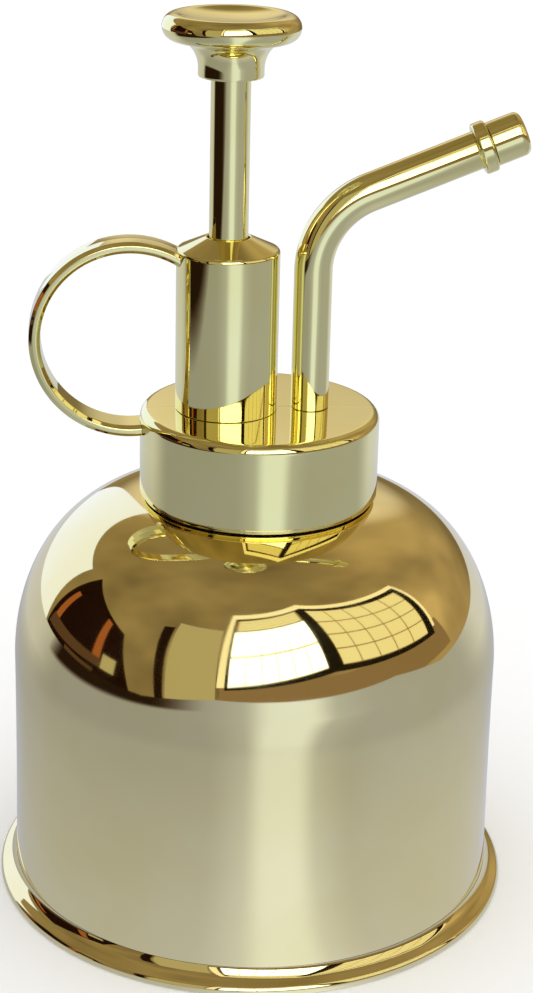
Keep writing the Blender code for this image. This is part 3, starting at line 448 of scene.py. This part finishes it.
def loft(name, stations, material, closed_loop=False):
    """Joins rings of points along a path; a closed loop runs out along a tube and back in its bore."""
    count = len(stations[0])
    verts = [point for station in stations for point in station]
    runs = len(stations) if closed_loop else len(stations) - 1
    faces = []
    for s in range(runs):
        near = s * count
        far = (s + 1) % len(stations) * count
        for i in range(count):
            j = (i + 1) % count
            faces.append((near + i, near + j, far + j, far + i))
    if not closed_loop:
        faces += [range(count), range(len(verts) - count, len(verts))]
    mesh = bpy.data.meshes.new(name)
    mesh.from_pydata(verts, [], faces)
    mesh.materials.append(material)
    obj = bpy.data.objects.new(name, mesh)
    bpy.context.scene.collection.objects.link(obj)
    return outward(obj)


ring_low, ring_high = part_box("finger_ring")
barrel_radius = (barrel_high.x - barrel_low.x) / 2
barrel_edge = barrel_high.z - BARREL_CONE
ring_x = -(cap_radius + RING_OFFSET)
ring_rise = barrel_edge - cap_top + RING_DROP
ring_run = barrel_x - barrel_radius - ring_x
ring_radius = (ring_run ** 2 + ring_rise ** 2) / (2 * ring_rise)
ring_z = cap_top - RING_DROP + ring_radius
half = ring_high.y                  # half the strip's width
inner = ring_radius - RING_THICKNESS
strip = [(ring_radius, -SEAM_HALF), (ring_radius + SEAM, 0.0), (ring_radius, SEAM_HALF)]
bevelled = [(ring_radius, half - RING_BEVEL), (ring_radius - RING_BEVEL, half),
            (inner + RING_BEVEL, half), (inner, half - RING_BEVEL)]
bevelled += [(r, -y) for r, y in reversed(bevelled)]
strip += rounded([(r, y, RING_SOFT) for r, y in bevelled], steps=3, hold=0.03 * MM)
ring_start = 360 - math.degrees(math.acos(RING_OFFSET / ring_radius)) + RING_OVERRUN
ring_end = math.degrees(math.acos(ring_run / ring_radius)) - RING_OVERRUN
ring_stations = []
for i in range(RING_STEPS + 1):
    angle = math.radians(ring_start + (ring_end - ring_start) * i / RING_STEPS)
    out = Vector((math.cos(angle), 0.0, math.sin(angle)))
    ring_stations.append([Vector((ring_x, y, ring_z)) + out * r for r, y in strip])
finger_ring = loft("finger_ring_strip", ring_stations, plated_abs)
cut(finger_ring, turned("cap_room", [(0.0, cap_low.z), (cap_radius + HAIRLINE, cap_low.z),
                                     (cap_radius + HAIRLINE, cap_top), (0.0, cap_top)], plated_abs))
cut(finger_ring, turned("barrel_room", [(0.0, cap_top), (barrel_radius + HAIRLINE, cap_top),
                                        (barrel_radius + HAIRLINE, ring_z + ring_radius),
                                        (0.0, ring_z + ring_radius)],
                        plated_abs, Matrix.Translation((barrel_x, 0, 0))))
finished(finger_ring, "head", "plated_plastic", "finger_ring")


# ---- Barrel --------------------------------------------------------------------------------------
# The upright plated housing round the pump's cylinder: a straight tube, a small round edge and a
# shallow cone up to the rod. Its spigot goes down through the cap.

BARREL_WALL = 1.14 * MM
BARREL_ROUND = 0.7 * MM             # edge between the tube and the cone
ROD_HOLE = 3.3 * MM
barrel_bore = barrel_radius - BARREL_WALL
foot_z = cap_top + HAIRLINE
under_cone = barrel_edge - BARREL_WALL
barrel = turned("barrel", rounded([
    (barrel_bore, barrel_low.z, 0.0), (BARREL_SPIGOT, barrel_low.z, 0.0), (BARREL_SPIGOT, foot_z, 0.0),
    (barrel_radius, foot_z, 0.08 * MM), (barrel_radius, barrel_edge, BARREL_ROUND),
    (ROD_HOLE, barrel_high.z, 0.25 * MM), (ROD_HOLE, under_cone, 0.0), (barrel_bore, under_cone, 0.0)]),
    plated_abs, Matrix.Translation((barrel_x, 0, 0)), seam=SEAM)
finished(barrel, "head", "plated_plastic", "barrel_housing")


# ---- Spout ---------------------------------------------------------------------------------------
# One plated tube pushed into the head, straight up and then bent to 22 degrees above level. The
# bend is a plain arc, and the tube's end carries the nozzle.

SPOUT_RADIUS = 3.02 * MM
SPOUT_BORE = 1.5 * MM
SPOUT_RISE = 31.5 * MM
SPOUT_BEND = 13.5 * MM
SPOUT_LEAN = math.radians(22)
SPOUT_REACH = 28.9 * MM
SPOUT_SIDES = 96
BEND_STEPS = 48
NOZZLE_SPIGOT = 2.3 * MM
NOZZLE_SPIGOT_LENGTH = 3.4 * MM

spout_low, spout_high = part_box("spout_tube")
corner = Vector((spout_x, 0.0, cap_top + SPOUT_RISE))
upward = Vector((0.0, 0.0, 1.0))
away = Vector((math.cos(SPOUT_LEAN), 0.0, math.sin(SPOUT_LEAN)))
bend_turn = math.pi / 2 - SPOUT_LEAN
tangent = SPOUT_BEND * math.tan(bend_turn / 2)
bend_middle = corner - upward * tangent + Vector((SPOUT_BEND, 0.0, 0.0))
spout_foot = Vector((spout_x, 0.0, foot_z))
path = [(Vector((spout_x, 0.0, spout_low.z)), upward, SPOUT_SPIGOT),
        (spout_foot, upward, SPOUT_SPIGOT), (spout_foot, upward, SPOUT_RADIUS - 0.08 * MM),
        (spout_foot + upward * 0.08 * MM, upward, SPOUT_RADIUS),
        (spout_foot + upward * 0.3 * MM, upward, SPOUT_RADIUS),
        (corner - upward * (tangent + 0.4 * MM), upward, SPOUT_RADIUS)]
for i in range(BEND_STEPS + 1):
    angle = bend_turn * i / BEND_STEPS
    out = Vector((-math.cos(angle), 0.0, math.sin(angle)))
    along = Vector((math.sin(angle), 0.0, math.cos(angle)))
    path.append((bend_middle + out * SPOUT_BEND, along, SPOUT_RADIUS))
path += [(corner + away * (tangent + 0.4 * MM), away, SPOUT_RADIUS),
         (corner + away * (SPOUT_REACH - 0.3 * MM), away, SPOUT_RADIUS),
         (corner + away * SPOUT_REACH, away, SPOUT_RADIUS - 0.1 * MM),
         (corner + away * SPOUT_REACH, away, NOZZLE_SPIGOT),
         (corner + away * (SPOUT_REACH + NOZZLE_SPIGOT_LENGTH), away, NOZZLE_SPIGOT)]


def hoop(centre, along, radius, seam=0.0):
    """Points of a circle square to a direction in the XZ plane, with a seam's ridges in that plane."""
    side = Vector((0.0, 1.0, 0.0))
    up = along.cross(side)
    points = []
    for angle in round_angles(SPOUT_SIDES, SEAM_HALF / SPOUT_RADIUS):
        reach = radius + (seam if abs(math.sin(angle)) < 1e-6 else 0.0)
        points.append(centre + reach * (math.cos(angle) * up + math.sin(angle) * side))
    return points


spout_rings = [hoop(centre, along, radius, SEAM) for centre, along, radius in path]
for centre, along, radius in reversed(path):
    if radius in (SPOUT_RADIUS, NOZZLE_SPIGOT) or centre == path[0][0]:
        spout_rings.append(hoop(centre, along, SPOUT_BORE))
spout = loft("spout", spout_rings, plated_abs, closed_loop=True)
finished(spout, "head", "plated_plastic", "spout_tube")


# ---- Nozzle --------------------------------------------------------------------------------------
# A plated collar pressed on the spout's end, and the nozzle that screws up against it: a short
# round-nosed cap with the spray hole in its face. Turning it sets the spray from jet to mist.

COLLAR_RADIUS = 4.1 * MM
COLLAR_LENGTH = 2.2 * MM
COLLAR_ROUND = 0.45 * MM
NOZZLE_RADIUS = 3.5 * MM
NOZZLE_LENGTH = 5.3 * MM
NOZZLE_EDGE = 1.2 * MM
NOZZLE_WALL = 1.1 * MM
ORIFICE = 0.4 * MM
nozzle_place = Matrix.Translation(corner) @ Matrix.Rotation(math.pi / 2 - SPOUT_LEAN, 4, "Y")
collar_end = SPOUT_REACH + 0.3 * MM
collar = turned("nozzle_collar_ring", rounded([
    (SPOUT_RADIUS + HAIRLINE, collar_end - COLLAR_LENGTH, 0.0),
    (COLLAR_RADIUS, collar_end - COLLAR_LENGTH, COLLAR_ROUND), (COLLAR_RADIUS, collar_end, COLLAR_ROUND),
    (SPOUT_RADIUS + HAIRLINE, collar_end, 0.0)]), plated_abs, nozzle_place)
finished(collar, "head", "plated_plastic", "nozzle_collar")

nozzle_start = collar_end + 0.12 * MM
nozzle_tip = SPOUT_REACH + 0.6 * MM + NOZZLE_LENGTH
nozzle_bore = NOZZLE_SPIGOT + 0.2 * MM
nozzle = turned("nozzle", rounded([
    (nozzle_bore, nozzle_start, 0.1 * MM), (NOZZLE_RADIUS, nozzle_start, 0.15 * MM),
    (NOZZLE_RADIUS, nozzle_tip, NOZZLE_EDGE), (1.3 * MM, nozzle_tip, 0.2 * MM),
    (ORIFICE, nozzle_tip - 0.4 * MM, 0.08 * MM), (ORIFICE, nozzle_tip - NOZZLE_WALL, 0.0),
    (nozzle_bore, nozzle_tip - NOZZLE_WALL, 0.0)], steps=10), plated_abs, nozzle_place)
finished(nozzle, "nozzle", "plated_plastic", "nozzle_cap")


# ---- Push knob and rod ---------------------------------------------------------------------------
# The plated thumb knob, a dished disc with a full rounded rim that flares down to a short neck,
# pressed on the polished rod that goes down into the barrel.

KNOB_RIM = 2.0 * MM
KNOB_FLARE = 4.2 * MM
KNOB_DISH = 1.2 * MM
DISH_END = math.radians(20)         # where the dish meets the round of the rim
KNOB_NECK = 5.05 * MM
ROD_RADIUS = 3.07 * MM
ROD_PIN = 2.2 * MM                  # radius of the pin that the piston is pressed on
ROD_PIN_LENGTH = 3.0 * MM
KNOB_SOCKET = 4.3 * MM
knob_low, knob_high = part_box("push_knob")
rod_low, rod_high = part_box("piston_rod")
knob_radius = (knob_high.x - knob_low.x) / 2
rim_r = knob_radius - KNOB_RIM
rim_z = knob_high.z - KNOB_RIM
dish_r = rim_r - KNOB_RIM * math.sin(DISH_END)
dish_z = rim_z + KNOB_RIM * math.cos(DISH_END)
knob_outline = []
for i in range(25):
    share = i / 24
    knob_outline.append((dish_r * share, dish_z - KNOB_DISH * (1 - share ** 2.4)))
knob_outline += arc((rim_r, rim_z), KNOB_RIM, 105, -90, 40)
for i in range(1, 29):
    angle = math.pi / 2 * i / 28
    knob_outline.append((rim_r - (rim_r - KNOB_NECK) * math.sin(angle),
                         rim_z - KNOB_RIM - KNOB_FLARE * (1 - math.cos(angle))))
socket = ROD_RADIUS + HAIRLINE
knob_outline += [(KNOB_NECK, knob_low.z + 0.4 * MM), (KNOB_NECK, knob_low.z + 0.3 * MM),
                 (KNOB_NECK - 0.1 * MM, knob_low.z + 0.08 * MM), (KNOB_NECK - 0.3 * MM, knob_low.z),
                 (socket, knob_low.z), (socket, knob_low.z + KNOB_SOCKET), (0.0, knob_low.z + KNOB_SOCKET)]
knob = turned("knob", knob_outline, plated_abs, Matrix.Translation((barrel_x, 0, 0)))
finished(knob, "plunger", "plated_plastic", "push_knob")

rod_foot = rod_low.z + ROD_PIN_LENGTH
rod = turned("rod", rounded([
    (0.0, rod_low.z, 0.0), (ROD_PIN, rod_low.z, 0.2 * MM), (ROD_PIN, rod_foot, 0.0),
    (ROD_RADIUS, rod_foot, 0.2 * MM), (ROD_RADIUS, rod_high.z, 0.2 * MM), (0.0, rod_high.z, 0.0)]),
    plated_abs, Matrix.Translation((barrel_x, 0, 0)), sides=128)
finished(rod, "plunger", "plated_plastic", "piston_rod")


# ---- Inside the head and bottle ------------------------------------------------------------------
# The working pieces that the head hides: a drawn brass cylinder in a moulded cup, natural
# polypropylene guides, cage and tube, rubber washers and seals, and two steel balls.


def plain_finish(name, pale, deep, roughness, metallic, grain, grain_size):
    """A plain material whose tint, gloss and fine relief all vary. grain is the relief's height."""
    material = bpy.data.materials.new(name)
    material.use_nodes = True
    tree = material.node_tree
    shader = tree.nodes["Principled BSDF"]
    shader.inputs["Metallic"].default_value = metallic
    place = add(tree, "ShaderNodeTexCoord").outputs["Object"]
    patches = add(tree, "ShaderNodeTexNoise", {"Vector": place, "Scale": 0.22 / MM, "Detail": 4.0})
    colour = add(tree, "ShaderNodeMix", {"Factor": patches, 6: linear(pale), 7: linear(deep)},
                 data_type="RGBA")
    tree.links.new(colour.outputs[2], shader.inputs["Base Color"])
    gloss = add(tree, "ShaderNodeMapRange", {0: patches.outputs["Fac"], 3: roughness * 0.75,
                                             4: roughness * 1.3})
    tree.links.new(gloss.outputs[0], shader.inputs["Roughness"])
    relief = add(tree, "ShaderNodeTexNoise", {"Vector": place, "Scale": 1 / grain_size, "Detail": 2.0})
    bump = add(tree, "ShaderNodeBump", {"Height": relief.outputs["Fac"], "Distance": grain})
    tree.links.new(bump.outputs[0], shader.inputs["Normal"])
    return material


# Natural polypropylene, moulded: milky and waxy, and a little of the light goes in.
natural_plastic = plain_finish("natural_polypropylene", "#F0EDE2", "#DDD8C8", 0.38, 0.0, 0.004 * MM,
                               MM / 0.9)
milky = natural_plastic.node_tree.nodes["Principled BSDF"].inputs
milky["Subsurface Weight"].default_value = 0.25
milky["Subsurface Scale"].default_value = 1.0 * MM
# Black nitrile rubber, moulded: nearly matt, with a dusty grain.
rubber = plain_finish("black_rubber", "#1C1B1A", "#2B2926", 0.62, 0.0, 0.006 * MM, MM / 1.4)
# Drawn brass: duller and redder than the plating, with a satin surface.
drawn_brass = plain_finish("drawn_brass", "#D8B25C", "#BE9546", 0.24, 1.0, 0.002 * MM, MM / 0.7)
# Bright steel, ground balls and drawn wire: grey and shiny, with a fine unevenness.
bright_steel = plain_finish("bright_steel", "#CFCFCC", "#B4B3AE", 0.16, 1.0, 0.001 * MM, MM / 0.8)

for material, slot_name, names in (
        (plated_steel, "bottle_metal", ("threaded_neck",)),
        (rubber, "rubber", ("neck_gasket", "rod_wiper", "spout_seal", "nozzle_washer", "piston_seal")),
        (drawn_brass, "drawn_brass", ("pump_cylinder",)),
        (bright_steel, "steel", ("inlet_ball", "outlet_ball")),
        (natural_plastic, "natural_plastic", ("cap_liner", "rod_guide", "pump_body", "ball_cage",
                                              "dip_tube", "inlet_strainer", "swirl_core", "piston_head"))):
    for name in names:
        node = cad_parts[name]
        node.data.materials.clear()
        node.data.materials.append(material)


# ---- Springs -------------------------------------------------------------------------------------
# Cold-coiled steel wire. Each spring's last turn at both ends lies flat, as it is closed on the
# coiling machine. The long one lifts the piston and the knob, the short one shuts the outlet valve.

def spring_tree(material):
    """A spiral whose rise stops near both ends, with a round wire swept along it."""
    tree, size = node_tree("spring_rule", ("Turns", "Coil Radius", "Length", "Wire Radius", "Flat Share"))
    spiral = add(tree, "GeometryNodeCurveSpiral", {
        "Resolution": 48, "Rotations": size["Turns"], "Start Radius": size["Coil Radius"],
        "End Radius": size["Coil Radius"], "Height": 1.0})
    place = add(tree, "ShaderNodeSeparateXYZ", {0: add(tree, "GeometryNodeInputPosition").outputs[0]})
    share = add(tree, "GeometryNodeSplineParameter").outputs["Factor"]
    last = add(tree, "ShaderNodeMath", {0: 1.0, 1: size["Flat Share"]}, operation="SUBTRACT")
    climb = add(tree, "ShaderNodeMapRange", {0: share, 1: size["Flat Share"], 2: last},
                interpolation_type="SMOOTHSTEP")
    eased = add(tree, "ShaderNodeMapRange", {0: share, 1: size["Flat Share"], 2: last})
    blend = add(tree, "ShaderNodeMix", {"Factor": 0.3, 2: eased, 3: climb})
    height = add(tree, "ShaderNodeMath", {0: blend, 1: size["Length"]}, operation="MULTIPLY")
    spot = add(tree, "ShaderNodeCombineXYZ", {0: place.outputs["X"], 1: place.outputs["Y"],
                                              2: height})
    wound = add(tree, "GeometryNodeSetPosition", {"Geometry": spiral, "Position": spot})
    wire = add(tree, "GeometryNodeCurvePrimitiveCircle", {"Resolution": 14, "Radius": size["Wire Radius"]})
    swept = add(tree, "GeometryNodeCurveToMesh", {"Curve": wound, "Profile Curve": wire,
                                                  "Fill Caps": True})
    end_tree(tree, swept.outputs[0], material)
    return tree


def spring(name, node, wire_radius, turns, flat_turns):
    """A spring as long and wide as its plain solid."""
    low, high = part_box(node)
    obj = grow(name, spring_rule, {
        "Turns": turns, "Coil Radius": (high.x - low.x) / 2 - wire_radius, "Wire Radius": wire_radius,
        "Length": high.z - low.z - 2 * wire_radius, "Flat Share": flat_turns / turns})
    middle = (low.x + high.x) / 2
    obj.data.transform(Matrix.Translation((middle, 0.0, low.z + wire_radius)))
    outward(obj)
    finished(obj, "head", "steel", node)
    return obj, low, high


spring_rule = spring_tree(bright_steel)
return_coil, low, high = spring("return_coil", "return_spring", 0.4 * MM, 8.0, 0.9)
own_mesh(return_coil)
outlet_coil, low, high = spring("outlet_coil", "outlet_spring", 0.25 * MM, 5.0, 0.8)
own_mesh(outlet_coil)


# ---- Studio --------------------------------------------------------------------------------------
# A white floor in plain light. The plating sees a paper table, white paper at the left, warm walls,
# a cupboard, a door and a tall window. They are boards of light that only reflections see.

CAMERA_PLACE = Vector((-29.3, -331.2, 195.8)) * MM
CAMERA_AIM = Vector((1.4, 0.0, 66.9)) * MM
CAMERA_ROLL = math.radians(1.33)
CAMERA_LENS = 79.45
BOARD_MIDDLE = 60 * MM              # height that rises are measured from
BOARD_STEPS = 12
FLOOR_HALF = 3.0
PAPER_REACH = 0.9                   # radius of the paper table
PAPER_EDGE = -0.32                  # the paper's straight left side, past which the table is dark

camera_data = bpy.data.cameras.new("camera")
camera_data.lens = CAMERA_LENS
camera_data.sensor_width = 36.0
camera_data.clip_start = 0.01
camera = bpy.data.objects.new("camera", camera_data)
bpy.context.scene.collection.objects.link(camera)
look = (CAMERA_AIM - CAMERA_PLACE).to_track_quat("-Z", "Y").to_matrix().to_4x4()
camera.matrix_world = Matrix.Translation(CAMERA_PLACE) @ look @ Matrix.Rotation(CAMERA_ROLL, 4, "Z")
bpy.context.scene.camera = camera


def glow(name, colour, strength):
    """A surface that gives off an even light: paper, wood or glass as the plating sees it."""
    material = bpy.data.materials.new(name)
    material.use_nodes = True
    material.node_tree.nodes.clear()
    light = add(material.node_tree, "ShaderNodeEmission", {"Color": linear(colour), "Strength": strength})
    add(material.node_tree, "ShaderNodeOutputMaterial", {0: light})
    return material


def only_reflected(obj):
    """Hides a stage piece from all but reflections."""
    obj.visible_camera = False
    obj.visible_diffuse = False
    obj.visible_shadow = False


def inside(corners, across, up):
    """The turn and rise at those shares of a board's width and height."""
    low = Vector(corners[0]).lerp(Vector(corners[1]), across)
    high = Vector(corners[3]).lerp(Vector(corners[2]), across)
    return low.lerp(high, up)


def board(name, corners, material, distance=2.0):
    """A board round the object. Corners are turn and rise in degrees, anticlockwise from low left."""
    verts, faces = [], []
    for j in range(BOARD_STEPS + 1):
        for i in range(BOARD_STEPS + 1):
            turn, rise = [math.radians(value) for value in inside(corners, i / BOARD_STEPS, j / BOARD_STEPS)]
            flat = distance * math.cos(rise)
            height = distance * math.sin(rise) + BOARD_MIDDLE
            verts.append((flat * math.sin(turn), -flat * math.cos(turn), height))
    for j in range(BOARD_STEPS):
        for i in range(BOARD_STEPS):
            a = j * (BOARD_STEPS + 1) + i
            faces.append((a, a + 1, a + BOARD_STEPS + 2, a + BOARD_STEPS + 1))
    mesh = bpy.data.meshes.new(name)
    mesh.from_pydata(verts, [], faces)
    mesh.materials.append(material)
    obj = bpy.data.objects.new(name, mesh)
    bpy.context.scene.collection.objects.link(obj)
    only_reflected(obj)


def upright(left, right, low, high):
    """Corners of a plain upright board."""
    return (left, low), (right, low), (right, high), (left, high)


def window(name, corners, columns, rows, glass, bars):
    """Bars with a pane of light before each of their openings."""
    board(name + "_bars", corners, bars, 1.97)
    for column in range(columns):
        for row in range(rows):
            pane = [inside(corners, (column + across) / columns, (row + up) / rows)
                    for across, up in upright(0.03, 0.97, 0.04, 0.96)]
            board(name + "_pane", pane, glass, 1.96)


# White paper at the left, then the window with its trim, the wall under it and two wide panes.
paper_white = glow("paper_white", "#D8E2FF", 1.4)
daylight = glow("daylight", "#FFFFFF", 2.6)
gold_light = glow("gold_light", "#F0E6B8", 1.08)
pale_bars = glow("pale_bars", "#E4E4DA", 1.1)
gold_bars = glow("gold_bars", "#B89460", 0.75)
dark_frame = glow("dark_frame", "#2E2416", 0.35)
pale_cream = glow("pale_cream", "#FFF4D0", 1.1)
tan_wall = glow("tan_wall", "#B89870", 0.55)
board("left_backdrop", upright(-171, -123, -8, 30), paper_white)
board("window_trim", ((-22, 9), (34, 17), (33, 66), (-22, 59)), pale_cream, 2.06)
board("window_trim", ((34, 17), (94, 11), (98, 44), (33, 66)), pale_cream, 2.06)
board("window_wall", ((-20.5, -1), (100, -1), (96, 14), (-20.5, 12)), tan_wall, 2.08)
board("window_frame", ((-18.5, 8), (34, 15), (33, 62.5), (-18.5, 56)), dark_frame, 2.0)
board("window_frame", ((34, 15), (92, 8), (96, 42), (33, 62.5)), dark_frame, 2.0)
window("left_window", ((-17, 9.5), (31, 18), (28.5, 53), (-17, 46)), 6, 2, daylight, pale_bars)
window("left_window_top", ((-17, 46.5), (28.5, 53.5), (28, 61), (-17, 54.5)), 1, 4, gold_light, gold_bars)
window("right_window", ((38.5, 18), (88, 10.5), (93, 40), (35, 60)), 5, 4, gold_light, gold_bars)

# A dark cupboard at the left with two posts, and a pale door between it and the window.
dark_wood = glow("dark_wood", "#3A1E12", 0.3)
red_wood = glow("red_wood", "#B86A38", 0.75)
brown_wood = glow("brown_wood", "#7A5A40", 0.5)
cream = glow("cream", "#C8BC90", 0.8)
board("cupboard", ((-123, -9), (-62, -6), (-74, 22), (-113, 34)), dark_wood)
board("cupboard_post", ((-86, 2), (-81, 1), (-83, 23), (-87, 24)), red_wood, 1.94)
board("cupboard_far_post", ((-118, 0), (-114, 0), (-110, 20), (-113, 20)), red_wood, 1.94)
board("cupboard_shelf", ((-120, -2), (-80, 0), (-81, 4), (-118, 3)), brown_wood, 1.92)
board("cupboard_front", upright(-104, -84, -7, -2), brown_wood, 1.93)
board("cupboard_pots", upright(-80, -72, 0, 7), cream, 1.93)
board("door", ((-45, -3), (-22, -3), (-24, 46), (-51, 44)), cream)
board("door_jamb", ((-50, -3), (-46, -3), (-52, 40), (-58, 38)), dark_wood)

# The floor that the eye sees: matt white paint.
floor_mesh = bpy.data.meshes.new("floor")
floor_mesh.from_pydata([(-FLOOR_HALF, -FLOOR_HALF, 0), (FLOOR_HALF, -FLOOR_HALF, 0),
                        (FLOOR_HALF, FLOOR_HALF, 0), (-FLOOR_HALF, FLOOR_HALF, 0)], [], [(0, 1, 2, 3)])
floor = bpy.data.objects.new("floor", floor_mesh)
bpy.context.scene.collection.objects.link(floor)
floor_paint = bpy.data.materials.new("white_floor")
floor_paint.use_nodes = True
paint = floor_paint.node_tree.nodes["Principled BSDF"].inputs
paint["Base Color"].default_value = linear("#F4F4F4")
paint["Roughness"].default_value = 0.9
floor_mesh.materials.append(floor_paint)
floor.visible_glossy = False

# The table that the plating sees: white paper, lit by reach from the object and by turn, where 0
# is to the front and a positive turn to the right.
paper = bpy.data.materials.new("paper_table")
paper.use_nodes = True
tree = paper.node_tree
tree.nodes.clear()
spot = add(tree, "ShaderNodeTexCoord").outputs["Object"]
parts = add(tree, "ShaderNodeSeparateXYZ", {0: spot})
reach = add(tree, "ShaderNodeVectorMath", {0: spot}, operation="LENGTH").outputs["Value"]
front = add(tree, "ShaderNodeMath", {0: parts.outputs["Y"], 1: -1.0}, operation="MULTIPLY")
turn = add(tree, "ShaderNodeMath", {0: parts.outputs["X"], 1: front}, operation="ARCTAN2")

# Even light, a little stronger near the object, to the right, and far behind.
near = add(tree, "ShaderNodeMapRange", {0: reach, 1: 0.04, 2: 0.15, 3: 0.60, 4: 0.42},
           interpolation_type="SMOOTHSTEP")
sideways = add(tree, "ShaderNodeMath", {0: parts.outputs["X"], 1: reach}, operation="DIVIDE")
side = add(tree, "ShaderNodeMapRange", {0: sideways, 1: -1.0, 2: 1.0, 3: 0.97, 4: 1.18})
either_way = add(tree, "ShaderNodeMath", {0: turn}, operation="ABSOLUTE")
behind = add(tree, "ShaderNodeMapRange", {0: either_way, 1: 1.7, 2: 2.2, 3: 0.0, 4: 0.8},
             interpolation_type="SMOOTHSTEP")
far = add(tree, "ShaderNodeMapRange", {0: reach, 1: 0.1, 2: 0.22})
shine = add(tree, "ShaderNodeMath", {0: behind, 1: far, 2: side}, operation="MULTIPLY_ADD")
level = add(tree, "ShaderNodeMath", {0: near, 1: shine}, operation="MULTIPLY")

# A streak of window light, with a firm core and a soft skirt, that widens and turns as it goes out.
streak_turn = add(tree, "ShaderNodeMapRange", {0: reach, 1: 0.08, 2: 0.35, 3: 0.09, 4: 0.2})
streak_width = add(tree, "ShaderNodeMapRange", {0: reach, 1: 0.08, 2: 0.35, 3: 1.0, 4: 1.6})
off_streak = add(tree, "ShaderNodeMath", {0: turn, 1: streak_turn}, operation="SUBTRACT")
off_streak = add(tree, "ShaderNodeMath", {0: off_streak}, operation="ABSOLUTE")
off_streak = add(tree, "ShaderNodeMath", {0: off_streak, 1: streak_width}, operation="DIVIDE")
core = add(tree, "ShaderNodeMapRange", {0: off_streak, 1: 0.09, 2: 0.24, 3: 1.0, 4: 0.0},
           interpolation_type="SMOOTHSTEP")
core_far = add(tree, "ShaderNodeMapRange", {0: reach, 1: 0.06, 2: 0.16, 3: 0.3, 4: 1.0})
skirt = add(tree, "ShaderNodeMapRange", {0: off_streak, 1: 0.03, 2: 0.48, 3: 0.55, 4: 0.0},
            interpolation_type="SMOOTHSTEP")
streak = add(tree, "ShaderNodeMath", {0: core, 1: core_far, 2: skirt}, operation="MULTIPLY_ADD")
lit = add(tree, "ShaderNodeMath", {0: near, 1: streak}, operation="MULTIPLY")

# Past the paper's left side the table is bare dark wood, from the left to nearly the front.
past_edge = add(tree, "ShaderNodeMapRange", {0: parts.outputs["X"], 1: PAPER_EDGE - 0.04,
                                             2: PAPER_EDGE + 0.03, 3: 1.0, 4: 0.0})
to_front = add(tree, "ShaderNodeMapRange", {0: turn, 1: -1.95, 2: -1.8})
bare = add(tree, "ShaderNodeMath", {0: past_edge, 1: to_front}, operation="MULTIPLY")
aside = add(tree, "ShaderNodeMapRange", {0: turn, 1: -0.9, 2: -0.42, 3: 1.0, 4: 0.0},
            interpolation_type="SMOOTHSTEP")
bare = add(tree, "ShaderNodeMath", {0: bare, 1: aside}, operation="MULTIPLY")
paper_left = add(tree, "ShaderNodeMapRange", {0: bare, 3: 1.0, 4: 0.11})
level = add(tree, "ShaderNodeMath", {0: level, 1: paper_left}, operation="MULTIPLY")
top = add(tree, "ShaderNodeMix", {"Factor": bare, 6: linear("#E9EDFF"), 7: linear("#A87A58")},
          data_type="RGBA")

plain = add(tree, "ShaderNodeEmission", {"Color": top.outputs[2], "Strength": level})
cool = add(tree, "ShaderNodeEmission", {"Color": linear("#D6E6FF"), "Strength": lit})
light = add(tree, "ShaderNodeAddShader", {0: plain, 1: cool})
add(tree, "ShaderNodeOutputMaterial", {0: light})
table = turned("table", [(0.0, -1.2 * MM), (PAPER_REACH, -1.2 * MM), (PAPER_REACH, -1.0 * MM),
                         (0.0, -1.0 * MM)], paper)
only_reflected(table)
board("paper_end", ((-62, -5), (95, -5), (62, 2), (-22, 2)), paper, 0.89)

# Reflections see a cloudy warm room, lighter to the right and behind; all else plain white light.
world = bpy.data.worlds.new("studio")
bpy.context.scene.world = world
world.use_nodes = True
tree = world.node_tree
tree.nodes.clear()
direction = add(tree, "ShaderNodeTexCoord").outputs["Generated"]
walls = linear("#8C7A56")
for toward, least, colour in (((0.85, 0.31, 0.42), 0.6, "#B49C70"), ((0.1, 0.93, 0.36), 0.94, "#D6C8AE")):
    to_wall = add(tree, "ShaderNodeVectorMath", {0: direction, 1: toward}, operation="DOT_PRODUCT")
    lit = add(tree, "ShaderNodeMapRange", {0: to_wall.outputs["Value"], 1: least, 2: 0.99},
              interpolation_type="SMOOTHSTEP")
    walls = add(tree, "ShaderNodeMix", {"Factor": lit, 6: walls, 7: linear(colour)},
                data_type="RGBA").outputs[2]
clouds = add(tree, "ShaderNodeTexNoise", {"Vector": direction, "Scale": 1.9, "Detail": 2.0})
shade = add(tree, "ShaderNodeMapRange", {0: clouds, 1: 0.3, 2: 0.7, 3: 0.65, 4: 1.35})
plain = add(tree, "ShaderNodeBackground", {"Color": (1.0, 1.0, 1.0, 1.0), "Strength": 1.15})
room = add(tree, "ShaderNodeBackground", {"Color": walls, "Strength": shade})
rays = add(tree, "ShaderNodeLightPath")
both = add(tree, "ShaderNodeMixShader", {0: rays.outputs["Is Glossy Ray"], 1: plain, 2: room})
add(tree, "ShaderNodeOutputWorld", {0: both})

bpy.context.scene.view_settings.view_transform = "Standard"
